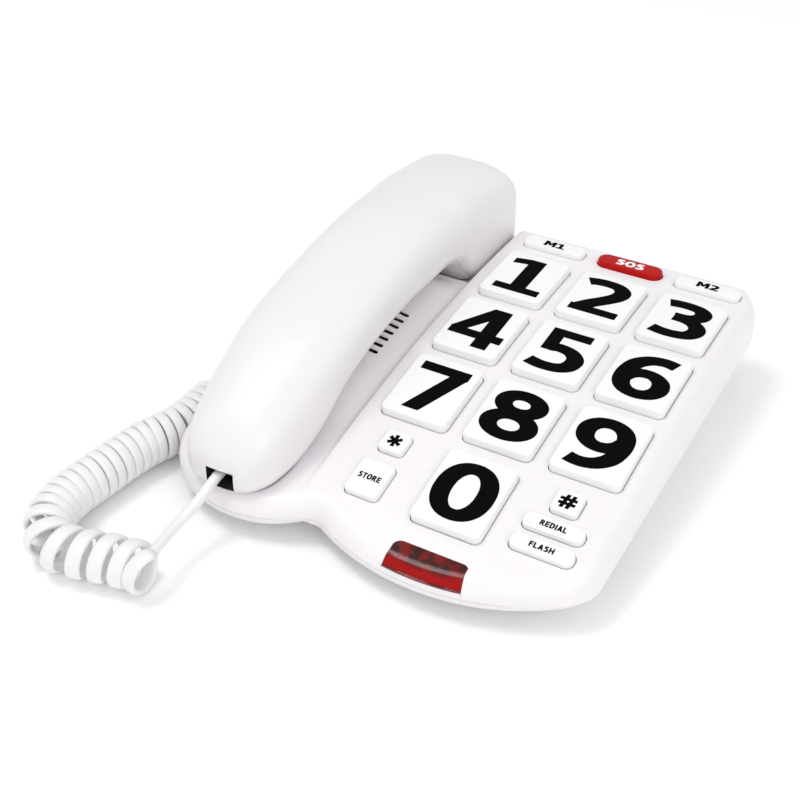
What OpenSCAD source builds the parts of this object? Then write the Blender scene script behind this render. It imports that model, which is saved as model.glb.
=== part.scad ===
// Big-button desk telephone: sloped base with keys, lens and cradle, handset, coiled handset cord.
// Millimetres. +Z up, +Y towards the back, -Y towards the user, +X to the user's right.

/* [Base] */
// X of the right wall
hw = 94.4; // [80:0.1:110]
// X of the left wall
left_x = -84.4; // [-100:0.1:-82]
// Y of the rear wall before the frame shift
rear_y = 102.5; // [90:0.5:120]
// Radius of the rear corners
rear_r = 13; // [4:0.5:25]
// Radius of the curved key panel, seen from the side
panel_r = 650; // [300:10:1200]
// Y of the highest line of the key panel
panel_y = 79; // [50:1:95]
// Height of the highest line of the key panel
panel_z = 42.5; // [30:0.5:70]
// Radius of the front edge seen from above
arc_r = 95; // [80:1:120]
// Radius of the front right corner
corner_r = 16; // [6:1:30]
// Radius of the lobe under the mouthpiece
lobe_r = 47.8; // [35:0.1:60]
// Radius of the corner between lobe and left wall
side_r = 25; // [10:1:40]
// Radius of the hollow corner between lobe and front edge
neck_r = 7; // [4:0.5:14]
// Wall thickness of the case
wall = 2.5; // [1.5:0.1:4]
// Drop from the key panel to the cradle side
cradle_drop = 3; // [1:0.5:6]
// X of the line where the key panel meets the cradle side
cradle_x = -21; // [-35:1:-10]
// Height of the bottom case's visible edge
band_h = 3; // [1:0.5:8]

/* [Keys] */
// Distance between the key columns
key_pitch = 36; // [28:1:45]
// Width of a number key
key_w = 29; // [20:0.5:34]
// Length of a number key
key_l = 35; // [20:0.5:40]
// Height of the number keys above the panel
key_up = 3; // [1:0.1:6]
// Height of the small keys above the panel
small_up = 2.4; // [1:0.1:6]
// Gap around each key
key_gap = 0.4; // [0.3:0.05:1]
// Travel of every key
key_travel = 1.5; // [0.5:0.1:3]

/* [Handset] */
// X of the handset's middle
hs_x = -51.5; // [-60:0.5:-40]
// Wall thickness of the handset shells
hs_wall = 2.2; // [1.5:0.1:4]
// Travel of the hook plunger
hook_travel = 4; // [2:0.5:8]

/* [Cord] */
// Outer diameter of the coil
coil_d = 19.5; // [12:0.5:30]
// Diameter of the uncoiled lead
lead_d = 3.8; // [2.5:0.1:6]

/* [Hidden] */
$fn = 64;
frame_dy = -1.5;
frame_dx = -(hw + left_x) / 2;
lobe_x = -46.6;
lobe_y = -54;
arc_x = 33.2;
arc_y = -7.5;
corner_x = hw - corner_r;
corner_y = arc_y - sqrt(pow(arc_r - corner_r, 2) - pow(corner_x - arc_x, 2));
cc_d = sqrt(pow(arc_x - lobe_x, 2) + pow(arc_y - lobe_y, 2));
cc_u = [(lobe_x - arc_x) / cc_d, (lobe_y - arc_y) / cc_d];
cc_a = (pow(arc_r + neck_r, 2) - pow(lobe_r + neck_r, 2) + cc_d * cc_d) / (2 * cc_d);
cc_h = sqrt(pow(arc_r + neck_r, 2) - cc_a * cc_a);
neck_x = arc_x + cc_a * cc_u[0] - cc_h * cc_u[1];
neck_y = arc_y + cc_a * cc_u[1] + cc_h * cc_u[0];
side_x = left_x + side_r;
side_y = lobe_y - sqrt(pow(lobe_r - side_r, 2) - pow(side_x - lobe_x, 2));
part_k = 11.5 / 192;
part_deg = atan(part_k);
pcb_k = 0.112;
pcb_deg = atan(pcb_k);
pcb_t = 1.6;
mem_t = 1;
line_x = 18;
bosses = [[86, 81], [86, -48], [-77, 60], [-77, -20]];
feet = [[64, 74], [-58, 74], [64, -60], [-46, -72]];
posts = [[-5, -62], [54, -62], [-5, 78], [54, 78]];
k_s = small_up;
// name, x, arc position, width, length, corner radius, height
KEYS = [
    ["key_1", 0, 20.3, key_w, key_l, 3.5, key_up],
    ["key_2", key_pitch, 20.3, key_w, key_l, 3.5, key_up],
    ["key_3", 2 * key_pitch, 20.3, key_w, key_l, 3.5, key_up],
    ["key_4", 0, 62.2, key_w, key_l, 3.5, key_up],
    ["key_5", key_pitch, 62.2, key_w, key_l, 3.5, key_up],
    ["key_6", 2 * key_pitch, 62.2, key_w, key_l, 3.5, key_up],
    ["key_7", 0, 104.1, key_w, key_l, 3.5, key_up],
    ["key_8", key_pitch, 104.1, key_w, key_l, 3.5, key_up],
    ["key_9", 2 * key_pitch, 104.1, key_w, key_l, 3.5, key_up],
    ["key_0", key_pitch, 146, key_w, key_l, 3.5, key_up],
    ["key_star", 0, 134.3, 11, 10.8, 2.2, k_s],
    ["key_hash", 2 * key_pitch, 134.3, 11, 10.8, 2.2, k_s],
    ["key_m1", 0, -11.3, 29, 8.5, 3, k_s],
    ["key_sos", key_pitch, -12, 30, 9, 4.4, k_s],
    ["key_m2", 2 * key_pitch, -11.3, 29, 8.5, 3, k_s],
    ["key_store", 0, 153.7, 14.5, 17, 2.2, k_s],
    ["key_redial", 2 * key_pitch, 146.5, 24, 7, 3, k_s],
    ["key_flash", 2 * key_pitch, 156.5, 25, 7, 3, k_s]
];
// handset stations: y, top, bottom, half width, height of the rounded top, bottom radius, seam height
HS = [
    [-101, 29, 20.8, 6, 5, 3, 0.5],
    [-99.5, 34, 20, 12, 11, 6, 1.3],
    [-95, 40, 19, 17, 16, 10, 2.5],
    [-88, 45.5, 19, 20.5, 20, 15, 3],
    [-76, 52, 21.4, 23, 22, 17, 3.5],
    [-62, 58, 28, 24.5, 22, 15, 3.5],
    [-48, 63, 38, 25, 22, 12, 3.5],
    [-28, 68.5, 45, 25, 22, 9, 3.5],
    [0, 74, 49, 25, 22, 9, 3.5],
    [25, 77, 50, 25.5, 22, 9, 3.5],
    [43, 77.5, 49.5, 26, 22, 9, 3.5],
    [52, 77.5, 42, 26.5, 22, 6, 3.5],
    [57, 77.5, 35, 27, 22, 4, 3.5],
    [80, 75.5, 34, 27, 22, 3, 3.5],
    [95, 72.5, 34, 26.5, 20, 3, 3.5],
    [102, 69.5, 34.5, 25, 17, 3, 3.5],
    [105.5, 65, 36, 20.5, 12, 2, 3]
];
HY = [-101, -99.5, -97.5, -95, -91.5, -88, -82, -76, -69, -62, -55, -48, -38, -28, -14, 0, 12.5, 25, 34, 43,
    47.5, 52, 54.5, 57, 64, 72, 80, 88, 95, 99, 102, 104, 105.5];
// coil route: x, y of the coil's middle, on the floor
COIL = [[-54.2, -140.9], [-62, -142.7], [-70, -144.4], [-78, -146.4], [-86, -148], [-93.5, -147.1], [-99.8, -142.2],
    [-103.6, -135], [-105.3, -126.5], [-105.2, -118], [-104.2, -109.5], [-103.2, -101], [-102.2, -92.5],
    [-100.6, -84], [-97.8, -76], [-95.4, -68], [-94.6, -60], [-94.6, -52], [-94.6, -44]];
coil_z = 9.95;
// handset lead route
LEAD_H = [[-51.2, -95, 25.2], [-51.2, -100, 24.9], [-51.6, -106, 22.8], [-52.6, -112, 19.8], [-54.2, -119, 17.6],
    [-56, -126, 17.6], [-57.4, -131, 20]];
// base lead route
LEAD_B = [[-86, 2, 25.5], [-91, 2, 25.5], [-95.6, 0.4, 24.6], [-98.8, -4.6, 22.3], [-99.6, -12, 19],
    [-98.8, -21, 15.4], [-97, -30, 12.4], [-95.3, -38, 10.6], [-94.6, -44, 10.2]];

function zp(y) = panel_z - panel_r + sqrt(panel_r * panel_r - (y - panel_y) * (y - panel_y));
function adeg(v) = v / panel_r * 180 / PI;
function vy(v) = panel_y - panel_r * sin(adeg(v));
function vz(v) = panel_z - panel_r * (1 - cos(adeg(v)));
function zpart(y) = 12 + (y + 93) * part_k;
function zpcb(y) = 12.7 + (y + 84.2) * pcb_k;
function kdepth(v) = (vz(v) - zpcb(vy(v)) - pcb_t - mem_t - key_travel - 0.9) * cos(adeg(v));

module at_frame() translate([frame_dx, frame_dy, 0]) children();

module plan2d(d) {
    translate([left_x + d, lobe_y]) square([hw - left_x - 2 * d, rear_y - rear_r - lobe_y]);
    translate([left_x + d, side_y]) square([30, lobe_y - side_y + 1]);
    translate([side_x, side_y]) circle(r = side_r - d, $fn = 96);
    translate([left_x + rear_r, lobe_y]) square([hw - left_x - 2 * rear_r, rear_y - d - lobe_y]);
    translate([left_x + rear_r, rear_y - rear_r]) circle(r = rear_r - d);
    translate([hw - rear_r, rear_y - rear_r]) circle(r = rear_r - d);
    difference() {
        translate([lobe_x, lobe_y]) circle(r = lobe_r - d, $fn = 160);
        polygon([[side_x, side_y], [lobe_x, lobe_y], [lobe_x, 50], [-150, 50],
            [-150, lobe_y + (side_y - lobe_y) * (-150 - lobe_x) / (side_x - lobe_x)]]);
    }
    intersection() {
        translate([arc_x, arc_y]) circle(r = arc_r - d, $fn = 240);
        polygon([[arc_x, arc_y], [arc_x + 3 * (corner_x - arc_x), arc_y + 3 * (corner_y - arc_y)], [-60, -250],
            [-60, arc_y]]);
    }
    translate([corner_x, corner_y]) circle(r = corner_r - d);
    translate([arc_x, corner_y]) square([hw - d - arc_x, lobe_y - corner_y + 20]);
    difference() {
        polygon([[neck_x, neck_y],
            [neck_x + 0.4 * (arc_x - neck_x), neck_y + 0.4 * (arc_y - neck_y)],
            [neck_x + 0.7 * (lobe_x - neck_x), neck_y + 0.7 * (lobe_y - neck_y)]]);
        translate([neck_x, neck_y]) circle(r = neck_r + d);
    }
}

module pan2d(d) {
    translate([-70 + d, -63]) square([150 - 2 * d, 139]);
    translate([-58, -75 + d]) square([126, 163 - 2 * d]);
    for (p = [[-58, -63], [68, -63], [-58, 76], [68, 76]]) translate(p) circle(r = 12 - d);
    translate([lobe_x, lobe_y]) circle(r = 27 - d, $fn = 120);
}

module rr2(w, l, r) {
    square([w - 2 * r, l], center = true);
    square([w, l - 2 * r], center = true);
    for (i = [-1, 1]) for (j = [-1, 1]) translate([i * (w / 2 - r), j * (l / 2 - r)]) circle(r = r, $fn = 32);
}

// solid below the panel surface, lowered by d
module below_panel(d) {
    translate([-150, panel_y, panel_z - panel_r]) rotate([0, 90, 0]) cylinder(r = panel_r - d, h = 300, $fn = 720);
}

// wedge above the sloped parting plane, raised by d
module above_part(d) {
    translate([-150, 0, 0]) rotate([90, 0, 90]) linear_extrude(300)
        polygon([[-150, zpart(-150) + d], [150, zpart(150) + d], [150, 120], [-150, 120]]);
}

module below_part(d) {
    translate([-150, 0, 0]) rotate([90, 0, 90]) linear_extrude(300)
        polygon([[-150, zpart(-150) - d], [150, zpart(150) - d], [150, -60], [-150, -60]]);
}

// hump under the grip, lowered by d
module ridge(d) {
    intersection() {
        translate([0, 50, -d]) rotate([90, 0, 0]) linear_extrude(100)
            polygon([[-25, 27], [-25, 31], [-43, 39.8], [-62, 39.8], [-82, 31], [-82, 27]]);
        translate([-150, 0, -d]) rotate([90, 0, 90]) linear_extrude(300)
            polygon([[-44, 20], [-42, 33.6], [-24, 35.6], [0, 38.4], [20, 39.9], [38, 39.9], [46, 36], [46, 20]]);
    }
}

module key_frame(v) {
    translate([0, vy(v), vz(v)]) rotate([adeg(v), 0, 0]) children();
}

module key_hole(k) {
    translate([k[1], 0, 0]) key_frame(k[2]) translate([0, 0, -4])
        linear_extrude(8) rr2(k[3] + 2 * key_gap, k[4] + 2 * key_gap, k[5] + key_gap);
}

module key_solid(k) {
    f = 1.1;
    translate([k[1], 0, 0]) key_frame(k[2]) {
        translate([0, 0, -3.3]) linear_extrude(3.3 + k[6] - 0.7) rr2(k[3], k[4], k[5]);
        translate([0, 0, k[6] - 0.8]) linear_extrude(0.8) rr2(k[3] - 1.2, k[4] - 1.2, k[5] - 0.6);
        translate([0, 0, -4.6]) linear_extrude(1.4) rr2(k[3] + 2 * f, k[4] + 2 * f, k[5] + f);
        translate([0, 0, -kdepth(k[2])]) cylinder(r = 3, h = kdepth(k[2]) - 4, $fn = 32);
    }
}

module lens_zone(g) {
    translate([21 - g, -110, 5]) cube([31.7 + 2 * g, 18.5 + g, 40]);
}

module base_top_case() color([0.93, 0.91, 0.93]) at_frame() {
    difference() {
        intersection() {
            linear_extrude(80) plan2d(0);
            above_part(0.15);
            union() {
                intersection() {
                    below_panel(0);
                    translate([cradle_x, -150, -20]) cube([150, 300, 100]);
                }
                below_panel(cradle_drop);
                ridge(0);
            }
        }
        difference() {
            intersection() {
                translate([0, 0, -5]) linear_extrude(80) plan2d(wall);
                union() {
                    intersection() {
                        below_panel(wall);
                        translate([cradle_x + wall, -150, -20]) cube([150, 300, 100]);
                    }
                    below_panel(cradle_drop + wall);
                    ridge(wall);
                }
            }
            // walls of the earpiece well
            translate([-82, 49, 31]) cube([61, 60, 20]);
            // screw bosses
            for (b = bosses) translate([b[0], b[1], 0]) cylinder(r = 3.2, h = 60, $fn = 40);
            // guide of the hook plunger
            translate([hs_x, 78, 28.8]) cylinder(r = 8, h = 5, $fn = 48);
            // frame of the cord socket in the left wall
            translate([left_x - 0.6, -6, 18]) cube([17.5, 16, 14]);
            // frame of the line socket in the rear wall
            translate([line_x - 9, 84.5, 22]) cube([18, 20, 14]);
        }
        translate([-79.6, 50.6, 33.5]) cube([56.2, 60, 30]);
        for (k = KEYS) key_hole(k);
        for (i = [-3:3]) translate([-54, -1 + 4.33 * i - 0.85, 20]) cube([23, 1.7, 40]);
        intersection() {
            lens_zone(0.15);
            union() {
                difference() {
                    translate([0, 0, 4]) linear_extrude(60) plan2d(-1);
                    translate([0, 0, 3]) linear_extrude(70) plan2d(wall + 0.1);
                }
                translate([0, -120, 14.5]) cube([80, 28.5, 20]);
            }
        }
        translate([hs_x - 4.8, 74.8, 20]) cube([9.6, 6.4, 20]);
        translate([hs_x - 6.2, 73.4, 20]) cube([12.4, 9.2, 11.2]);
        for (b = bosses) translate([b[0], b[1], 0]) cylinder(r = 1.45, h = zpart(b[1]) + 10, $fn = 32);
        // cord socket, left wall
        translate([left_x - 5.6, -2.35, 21.6]) cube([8, 8.7, 7.8]);
        translate([left_x + 1.8, -4.2, 8]) cube([14, 12.4, 22.9]);
        // line socket, rear wall
        translate([line_x - 5.3, 99, 26.1]) cube([10.6, 6, 7.8]);
        translate([line_x - 7, 86, 10]) cube([14, 14.1, 24.9]);
    }
}

module base_bottom_case() color([0.9, 0.88, 0.9]) at_frame() {
    difference() {
        union() {
            intersection() {
                translate([0, 0, 4]) linear_extrude(40) plan2d(0);
                below_part(0.15);
                above_part(-band_h);
            }
            intersection() {
                translate([0, 0, 2]) linear_extrude(40) pan2d(0);
                below_part(0.6);
            }
            intersection() {
                for (b = bosses) translate([b[0], b[1], zpart(b[1]) - band_h - 1.8]) cylinder(r = 5.4, h = 8, $fn = 48);
                below_part(0.15);
            }
        }
        difference() {
            translate([0, 0, 4.5]) linear_extrude(40) pan2d(wall);
            for (p = posts) translate([p[0], p[1], 0]) cylinder(r = 3, h = 40, $fn = 32);
            translate([-46, -1, 0]) difference() {
                cylinder(r = 17, h = 40);
                translate([0, 0, -1]) cylinder(r = 14.5, h = 42);
            }
        }
        intersection() {
            translate([0, 0, 0]) linear_extrude(60) plan2d(wall);
            above_part(-0.6);
            union() {
                difference() {
                    translate([-120, -120, 0]) cube([240, 240, 60]);
                    for (p = posts) translate([p[0], p[1], -1]) cylinder(r = 3, h = 62, $fn = 32);
                    translate([-46, -1, -1]) difference() {
                        cylinder(r = 17, h = 62);
                        translate([0, 0, -1]) cylinder(r = 14.5, h = 64);
                    }
                    for (b = bosses) translate([b[0], b[1], -1]) cylinder(r = 5.4, h = 62, $fn = 48);
                }
            }
        }
        for (b = bosses) {
            translate([b[0], b[1], 0]) cylinder(r = 1.7, h = 40, $fn = 32);
            translate([b[0], b[1], zpart(b[1]) - band_h - 3]) cylinder(r = 3.3, h = 3, $fn = 40);
        }
        for (f = feet) translate([f[0], f[1], 0]) cylinder(r = 7.2, h = 3, $fn = 48);
    }
    for (p = posts) translate([p[0], p[1], 3.5]) cylinder(r = 3, h = zpcb(p[1]) - 3.5 - 0.5, $fn = 32);
    translate([-46, -1, 3.5]) difference() {
        cylinder(r = 17, h = 16.5);
        translate([0, 0, 1]) cylinder(r = 14.5, h = 20);
    }
}

module indicator_lens() color([0.85, 0.1, 0.15, 0.6]) at_frame() {
    intersection() {
        translate([21, -110, zpart(-102) + 0.35]) cube([31.7, 18.5, 30]);
        below_panel(0);
        difference() {
            linear_extrude(80) plan2d(0);
            translate([-100, -92, -1]) cube([200, 200, 60]);
            intersection() {
                translate([0, 0, -1]) linear_extrude(80) plan2d(2);
                below_panel(2);
            }
        }
    }
}

module led_board() color([0.1, 0.35, 0.15]) at_frame() {
    translate([36.8, -93.6, zpart(-93.6) - 0.4]) rotate([part_deg, 0, 0]) translate([-14, -4.5, 0]) cube([28, 9, 1]);
}

module indicator_leds() color([0.8, 0.1, 0.1]) at_frame() {
    for (i = [-1, 0, 1]) translate([36.8 + 9 * i, -93.6, zpart(-93.6) + 0.7]) rotate([part_deg, 0, 0]) {
        cylinder(r = 1.8, h = 1.2, $fn = 32);
        translate([0, 0, 1.1]) cylinder(r = 1.5, h = 1.2, $fn = 32);
    }
}

module main_pcb() color([0.1, 0.35, 0.15]) at_frame() {
    difference() {
        translate([-13, -76, zpcb(-76)]) rotate([pcb_deg, 0, 0]) cube([93, 169 / cos(pcb_deg), pcb_t]);
        translate([line_x - 10, 83.8, 20]) cube([20, 20, 30]);
    }
    translate([50, -30, zpcb(-30) - 2.4]) rotate([pcb_deg, 0, 0]) cube([16, 16, 2.5]);
    translate([10, 20, zpcb(20) - 1.6]) rotate([pcb_deg, 0, 0]) cube([12, 7, 1.7]);
}

module key_membrane() color([0.75, 0.75, 0.72]) at_frame() {
    difference() {
        translate([-12, -75.5, zpcb(-75.5) + pcb_t + 0.1]) rotate([pcb_deg, 0, 0])
            cube([91, 168 / cos(pcb_deg), mem_t]);
        translate([line_x - 10, 83.8, 20]) cube([20, 20, 30]);
    }
}

module key_1() color([0.95, 0.95, 0.95]) at_frame() key_solid(KEYS[0]);
module key_2() color([0.95, 0.95, 0.95]) at_frame() key_solid(KEYS[1]);
module key_3() color([0.95, 0.95, 0.95]) at_frame() key_solid(KEYS[2]);
module key_4() color([0.95, 0.95, 0.95]) at_frame() key_solid(KEYS[3]);
module key_5() color([0.95, 0.95, 0.95]) at_frame() key_solid(KEYS[4]);
module key_6() color([0.95, 0.95, 0.95]) at_frame() key_solid(KEYS[5]);
module key_7() color([0.95, 0.95, 0.95]) at_frame() key_solid(KEYS[6]);
module key_8() color([0.95, 0.95, 0.95]) at_frame() key_solid(KEYS[7]);
module key_9() color([0.95, 0.95, 0.95]) at_frame() key_solid(KEYS[8]);
module key_0() color([0.95, 0.95, 0.95]) at_frame() key_solid(KEYS[9]);
module key_star() color([0.95, 0.95, 0.95]) at_frame() key_solid(KEYS[10]);
module key_hash() color([0.95, 0.95, 0.95]) at_frame() key_solid(KEYS[11]);
module key_m1() color([0.95, 0.95, 0.95]) at_frame() key_solid(KEYS[12]);
module key_sos() color([0.8, 0.1, 0.15]) at_frame() key_solid(KEYS[13]);
module key_m2() color([0.95, 0.95, 0.95]) at_frame() key_solid(KEYS[14]);
module key_store() color([0.95, 0.95, 0.95]) at_frame() key_solid(KEYS[15]);
module key_redial() color([0.95, 0.95, 0.95]) at_frame() key_solid(KEYS[16]);
module key_flash() color([0.95, 0.95, 0.95]) at_frame() key_solid(KEYS[17]);

module ringer_speaker() color([0.2, 0.2, 0.2]) at_frame() translate([-46, -1, 0]) {
    translate([0, 0, 20.2]) cylinder(r = 19, h = 2.5);
    translate([0, 0, 12]) cylinder(r = 11, h = 9);
    translate([0, 0, 22.5]) difference() {
        cylinder(r = 19, h = 2);
        translate([0, 0, 1]) cylinder(r = 16, h = 3);
    }
}

module hook_plunger() color([0.93, 0.91, 0.93]) at_frame() {
    translate([hs_x - 4.5, 75.1, 24]) cube([9, 5.8, 9.7]);
    translate([hs_x - 5.9, 73.7, 24]) cube([11.8, 8.6, 2.5]);
}

module hook_switch() color([0.15, 0.15, 0.15]) at_frame() {
    translate([hs_x - 6, 73, 4.6]) cube([12, 10, 17]);
    translate([hs_x - 2, 76, 21]) cube([4, 4, 2.6]);
}

module base_cord_jack() color([0.1, 0.1, 0.1]) at_frame() difference() {
    translate([left_x + 2, -4, 19.3]) cube([13.6, 12, 11.4]);
    translate([left_x + 1.4, -2.1, 21.9]) cube([12.4, 8.2, 7.2]);
}

module line_jack() color([0.1, 0.1, 0.1]) at_frame() difference() {
    translate([line_x - 6.8, 86.2, 24.2]) cube([13.6, 13.7, 10.5]);
    translate([line_x - 5, 88, 26.4]) cube([10, 13, 7.2]);
}

module ballast_plate() color([0.5, 0.5, 0.52]) at_frame() {
    translate([8, -48, 4.6]) cube([40, 100, 3]);
}

module rubber_feet() color([0.2, 0.2, 0.2]) at_frame() {
    for (f = feet) translate([f[0], f[1], 0]) {
        cylinder(r = 7, h = 2.9, $fn = 48);
    }
}

module base_screws() color([0.6, 0.6, 0.62]) at_frame() {
    for (b = bosses) translate([b[0], b[1], zpart(b[1]) - band_h - 1.7]) difference() {
        union() {
            cylinder(r = 2.9, h = 1.6, $fn = 32);
            cylinder(r = 1.4, h = 12, $fn = 32);
        }
        translate([-2, -0.3, -1]) cube([4, 0.6, 1.7]);
        translate([-0.3, -2, -1]) cube([0.6, 4, 1.7]);
    }
}

// handset loft
function seg(y, i) = i >= len(HS) - 2 || y < HS[i + 1][0] ? i : seg(y, i + 1);
function tan_at(i, c) = i == 0 ? (HS[1][c] - HS[0][c]) / (HS[1][0] - HS[0][0])
    : i == len(HS) - 1 ? (HS[i][c] - HS[i - 1][c]) / (HS[i][0] - HS[i - 1][0])
    : (HS[i + 1][c] - HS[i - 1][c]) / (HS[i + 1][0] - HS[i - 1][0]);
function herm(a, b, ma, mb, t) = (2 * t * t * t - 3 * t * t + 1) * a + (t * t * t - 2 * t * t + t) * ma
    + (3 * t * t - 2 * t * t * t) * b + (t * t * t - t * t) * mb;
function hval(y, c, i) = herm(HS[i][c], HS[i + 1][c], tan_at(i, c) * (HS[i + 1][0] - HS[i][0]),
    tan_at(i + 1, c) * (HS[i + 1][0] - HS[i][0]), (y - HS[i][0]) / (HS[i + 1][0] - HS[i][0]));
function hs_at(y) = [for (c = [1:6]) hval(y, c, seg(y, 0))];
// section: [top, bottom, half width, top height, bottom radius], all safe
function sec(q, t) = [q[0] - t, q[1] + t, q[2] - t, min(q[3] - 0.8 * t, 0.72 * (q[0] - q[1] - 2 * t)),
    max(0.6, min(q[4] - t, 0.75 * (q[2] - t), q[0] - q[1] - 2 * t
        - min(q[3] - 0.8 * t, 0.72 * (q[0] - q[1] - 2 * t)) - 0.3))];
function half_w(s, z) = z < s[1] + s[4] ? s[2] - s[4] + sqrt(max(0, s[4] * s[4] - pow(s[1] + s[4] - z, 2))) : s[2];
function top_pt(s, a) = [s[2] * pow(max(0, cos(a)), 0.8), s[0] - s[3] + s[3] * pow(max(0, sin(a)), 0.8)];
UA = [0, 12, 25, 38, 52, 66, 78, 90];
function up_half(s, zs) = concat(
    [[half_w(s, zs), zs], [half_w(s, (zs + s[0] - s[3]) / 2), (zs + s[0] - s[3]) / 2]],
    [for (a = UA) top_pt(s, a)]);
function low_half(s, zs) = let (b = max(0, min(s[4], s[1] + s[4] - zs)), a0 = asin(b / s[4]))
    concat([[half_w(s, zs), zs]],
    [for (i = [1:4]) let (a = a0 + (90 - a0) * i / 4) [s[2] - s[4] + s[4] * cos(a), s[1] + s[4] - s[4] * sin(a)]],
    [[0, s[1]]]);
function mir(h) = [for (i = [len(h) - 2:-1:0]) [-h[i][0], h[i][1]]];
function full(h) = concat(h, mir(h));
function flat_arc(n, w, z) = [for (i = [0:n - 1]) [0.85 * w * (2 * i / (n - 1) - 1), z]];
function rev(l) = [for (i = [len(l) - 1:-1:0]) l[i]];
function solid_end(y) = y < -96 || y > 102.5;
function up_ring(y) = let (q = hs_at(y), zs = q[1] + q[5], o = up_half(sec(q, 0), zs),
    n = up_half(sec(q, hs_wall), zs))
    rev(concat(full(o), solid_end(y) ? flat_arc(len(full(n)), half_w(sec(q, 0), zs), zs) : rev(full(n))));
function low_ring(y) = let (q = hs_at(y), zs = q[1] + q[5] - 0.15, o = low_half(sec(q, 0), zs),
    n = low_half(sec(q, hs_wall), zs))
    concat(full(o), solid_end(y) ? flat_arc(len(full(n)), half_w(sec(q, 0), zs), zs) : rev(full(n)));

module ring_solid(R, ys) {
    m = len(R[0]);
    n = len(R);
    pts = [for (i = [0:n - 1]) for (p = R[i]) [hs_x + p[0], ys[i], p[1]]];
    sides = [for (i = [0:n - 2]) for (j = [0:m - 1]) for (h = [0, 1])
        h == 0 ? [i * m + j, (i + 1) * m + j, (i + 1) * m + (j + 1) % m]
        : [i * m + j, (i + 1) * m + (j + 1) % m, i * m + (j + 1) % m]];
    polyhedron(points = pts, faces = concat(sides, cap_faces(0, m, false), cap_faces((n - 1) * m, m, true)));
}

// end caps: a strip between the outer arc and the flattened inner arc
function cap_faces(s, m, f) = let (h = m / 2) [for (j = [0:h - 2]) for (k = [0, 1])
    let (a = s + j, b = s + j + 1, c = s + m - 1 - j, d = s + m - 2 - j,
        t = k == 0 ? [a, b, c] : [b, d, c]) f ? [t[2], t[1], t[0]] : t];

module handset_back_shell() color([0.93, 0.91, 0.93]) at_frame() {
    resize([0, 0, 0]) difference() {
        ring_solid([for (y = HY) up_ring(y)], HY);
        translate([-55.5, -106, 20.5]) cube([12, 13.5, 7.9]);
    }
}

module handset_front_shell() color([0.93, 0.91, 0.93]) at_frame() {
    resize([0, 0, 0]) difference() {
        ring_solid([for (y = HY) low_ring(y)], HY);
        for (i = [0:5]) translate([hs_x + 8 * cos(60 * i), 79 + 8 * sin(60 * i), 30]) cylinder(r = 1.3, h = 10, $fn = 24);
        translate([hs_x, 79, 30]) cylinder(r = 1.3, h = 10, $fn = 24);
        for (i = [-1, 0, 1]) translate([hs_x + 4 * i, -77, 15]) cylinder(r = 0.9, h = 14, $fn = 20);
        for (p = [[hs_x - 19, 95, 33.5], [hs_x + 19, 95, 33.5], [hs_x, -36, 41.5]]) translate(p)
            cylinder(r = 1.5, h = 12, $fn = 24);
        for (p = [[hs_x - 19, 95, 32], [hs_x + 19, 95, 32], [hs_x, -36, 40]]) translate(p)
            cylinder(r = 2.8, h = p[1] > 0 ? 3.2 : 4.6, $fn = 32);
    }
}

module earpiece_receiver() color([0.15, 0.15, 0.15]) at_frame() translate([hs_x, 79, 36.4]) {
    cylinder(r = 15, h = 4.5);
    translate([0, 0, 4]) cylinder(r = 9, h = 4.5, $fn = 48);
}

module microphone() color([0.15, 0.15, 0.15]) at_frame() {
    translate([hs_x, -77, 25.2]) cylinder(r = 4.5, h = 4.5, $fn = 40);
}

module handset_weight() color([0.5, 0.5, 0.52]) at_frame() {
    translate([hs_x - 10, -22, 53]) cube([20, 64, 6]);
}

module handset_jack() color([0.08, 0.08, 0.08]) at_frame() difference() {
    translate([-56.6, -94.4, 22]) cube([13.8, 12.2, 7.4]);
    translate([-55.5, -96, 22.3]) cube([12, 12.2, 6.6]);
}

module handset_screws() color([0.6, 0.6, 0.62]) at_frame() {
    for (p = [[hs_x - 19, 95, 33.7], [hs_x + 19, 95, 33.7], [hs_x, -36, 43.1]]) translate(p) {
        cylinder(r = 2.5, h = 1.4, $fn = 32);
        cylinder(r = 1.3, h = 9, $fn = 24);
    }
}

module handset_cord_plug() color([0.85, 0.85, 0.82]) at_frame() {
    translate([-55, -95, 22.6]) cube([7.6, 10.8, 6]);
}

module base_cord_plug() color([0.85, 0.85, 0.82]) at_frame() {
    translate([left_x - 1.6, -1.8, 22.4]) cube([15, 7.6, 6.2]);
}

// tube swept along a route, n sides
function unit(v) = v / norm(v);
function tdir(P, i) = unit(P[min(i + 1, len(P) - 1)] - P[max(i - 1, 0)]);
module tube(P, r, n) {
    pts = [for (i = [0:len(P) - 1]) let (t = tdir(P, i), u = unit(cross(t, [0, 0, 1])), w = cross(u, t))
        for (j = [0:n - 1]) P[i] + r * (cos(360 * j / n) * u + sin(360 * j / n) * w)];
    polyhedron(points = pts, faces = concat(
        [for (i = [0:len(P) - 2]) for (j = [0:n - 1]) for (h = [0, 1])
            h == 0 ? [i * n + j, i * n + (j + 1) % n, (i + 1) * n + (j + 1) % n]
            : [i * n + j, (i + 1) * n + (j + 1) % n, (i + 1) * n + j]],
        [[for (j = [n - 1:-1:0]) j]], [[for (j = [0:n - 1]) (len(P) - 1) * n + j]]));
}

module cord_lead_handset() color([0.95, 0.95, 0.95]) at_frame() tube(LEAD_H, lead_d / 2, 8);

module curly_cord() color([0.95, 0.95, 0.95]) at_frame() tube([for (p = COIL) [p[0], p[1], coil_z]], coil_d / 2, 12);

module cord_lead_base() color([0.95, 0.95, 0.95]) at_frame() tube(LEAD_B, lead_d / 2, 8);

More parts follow.
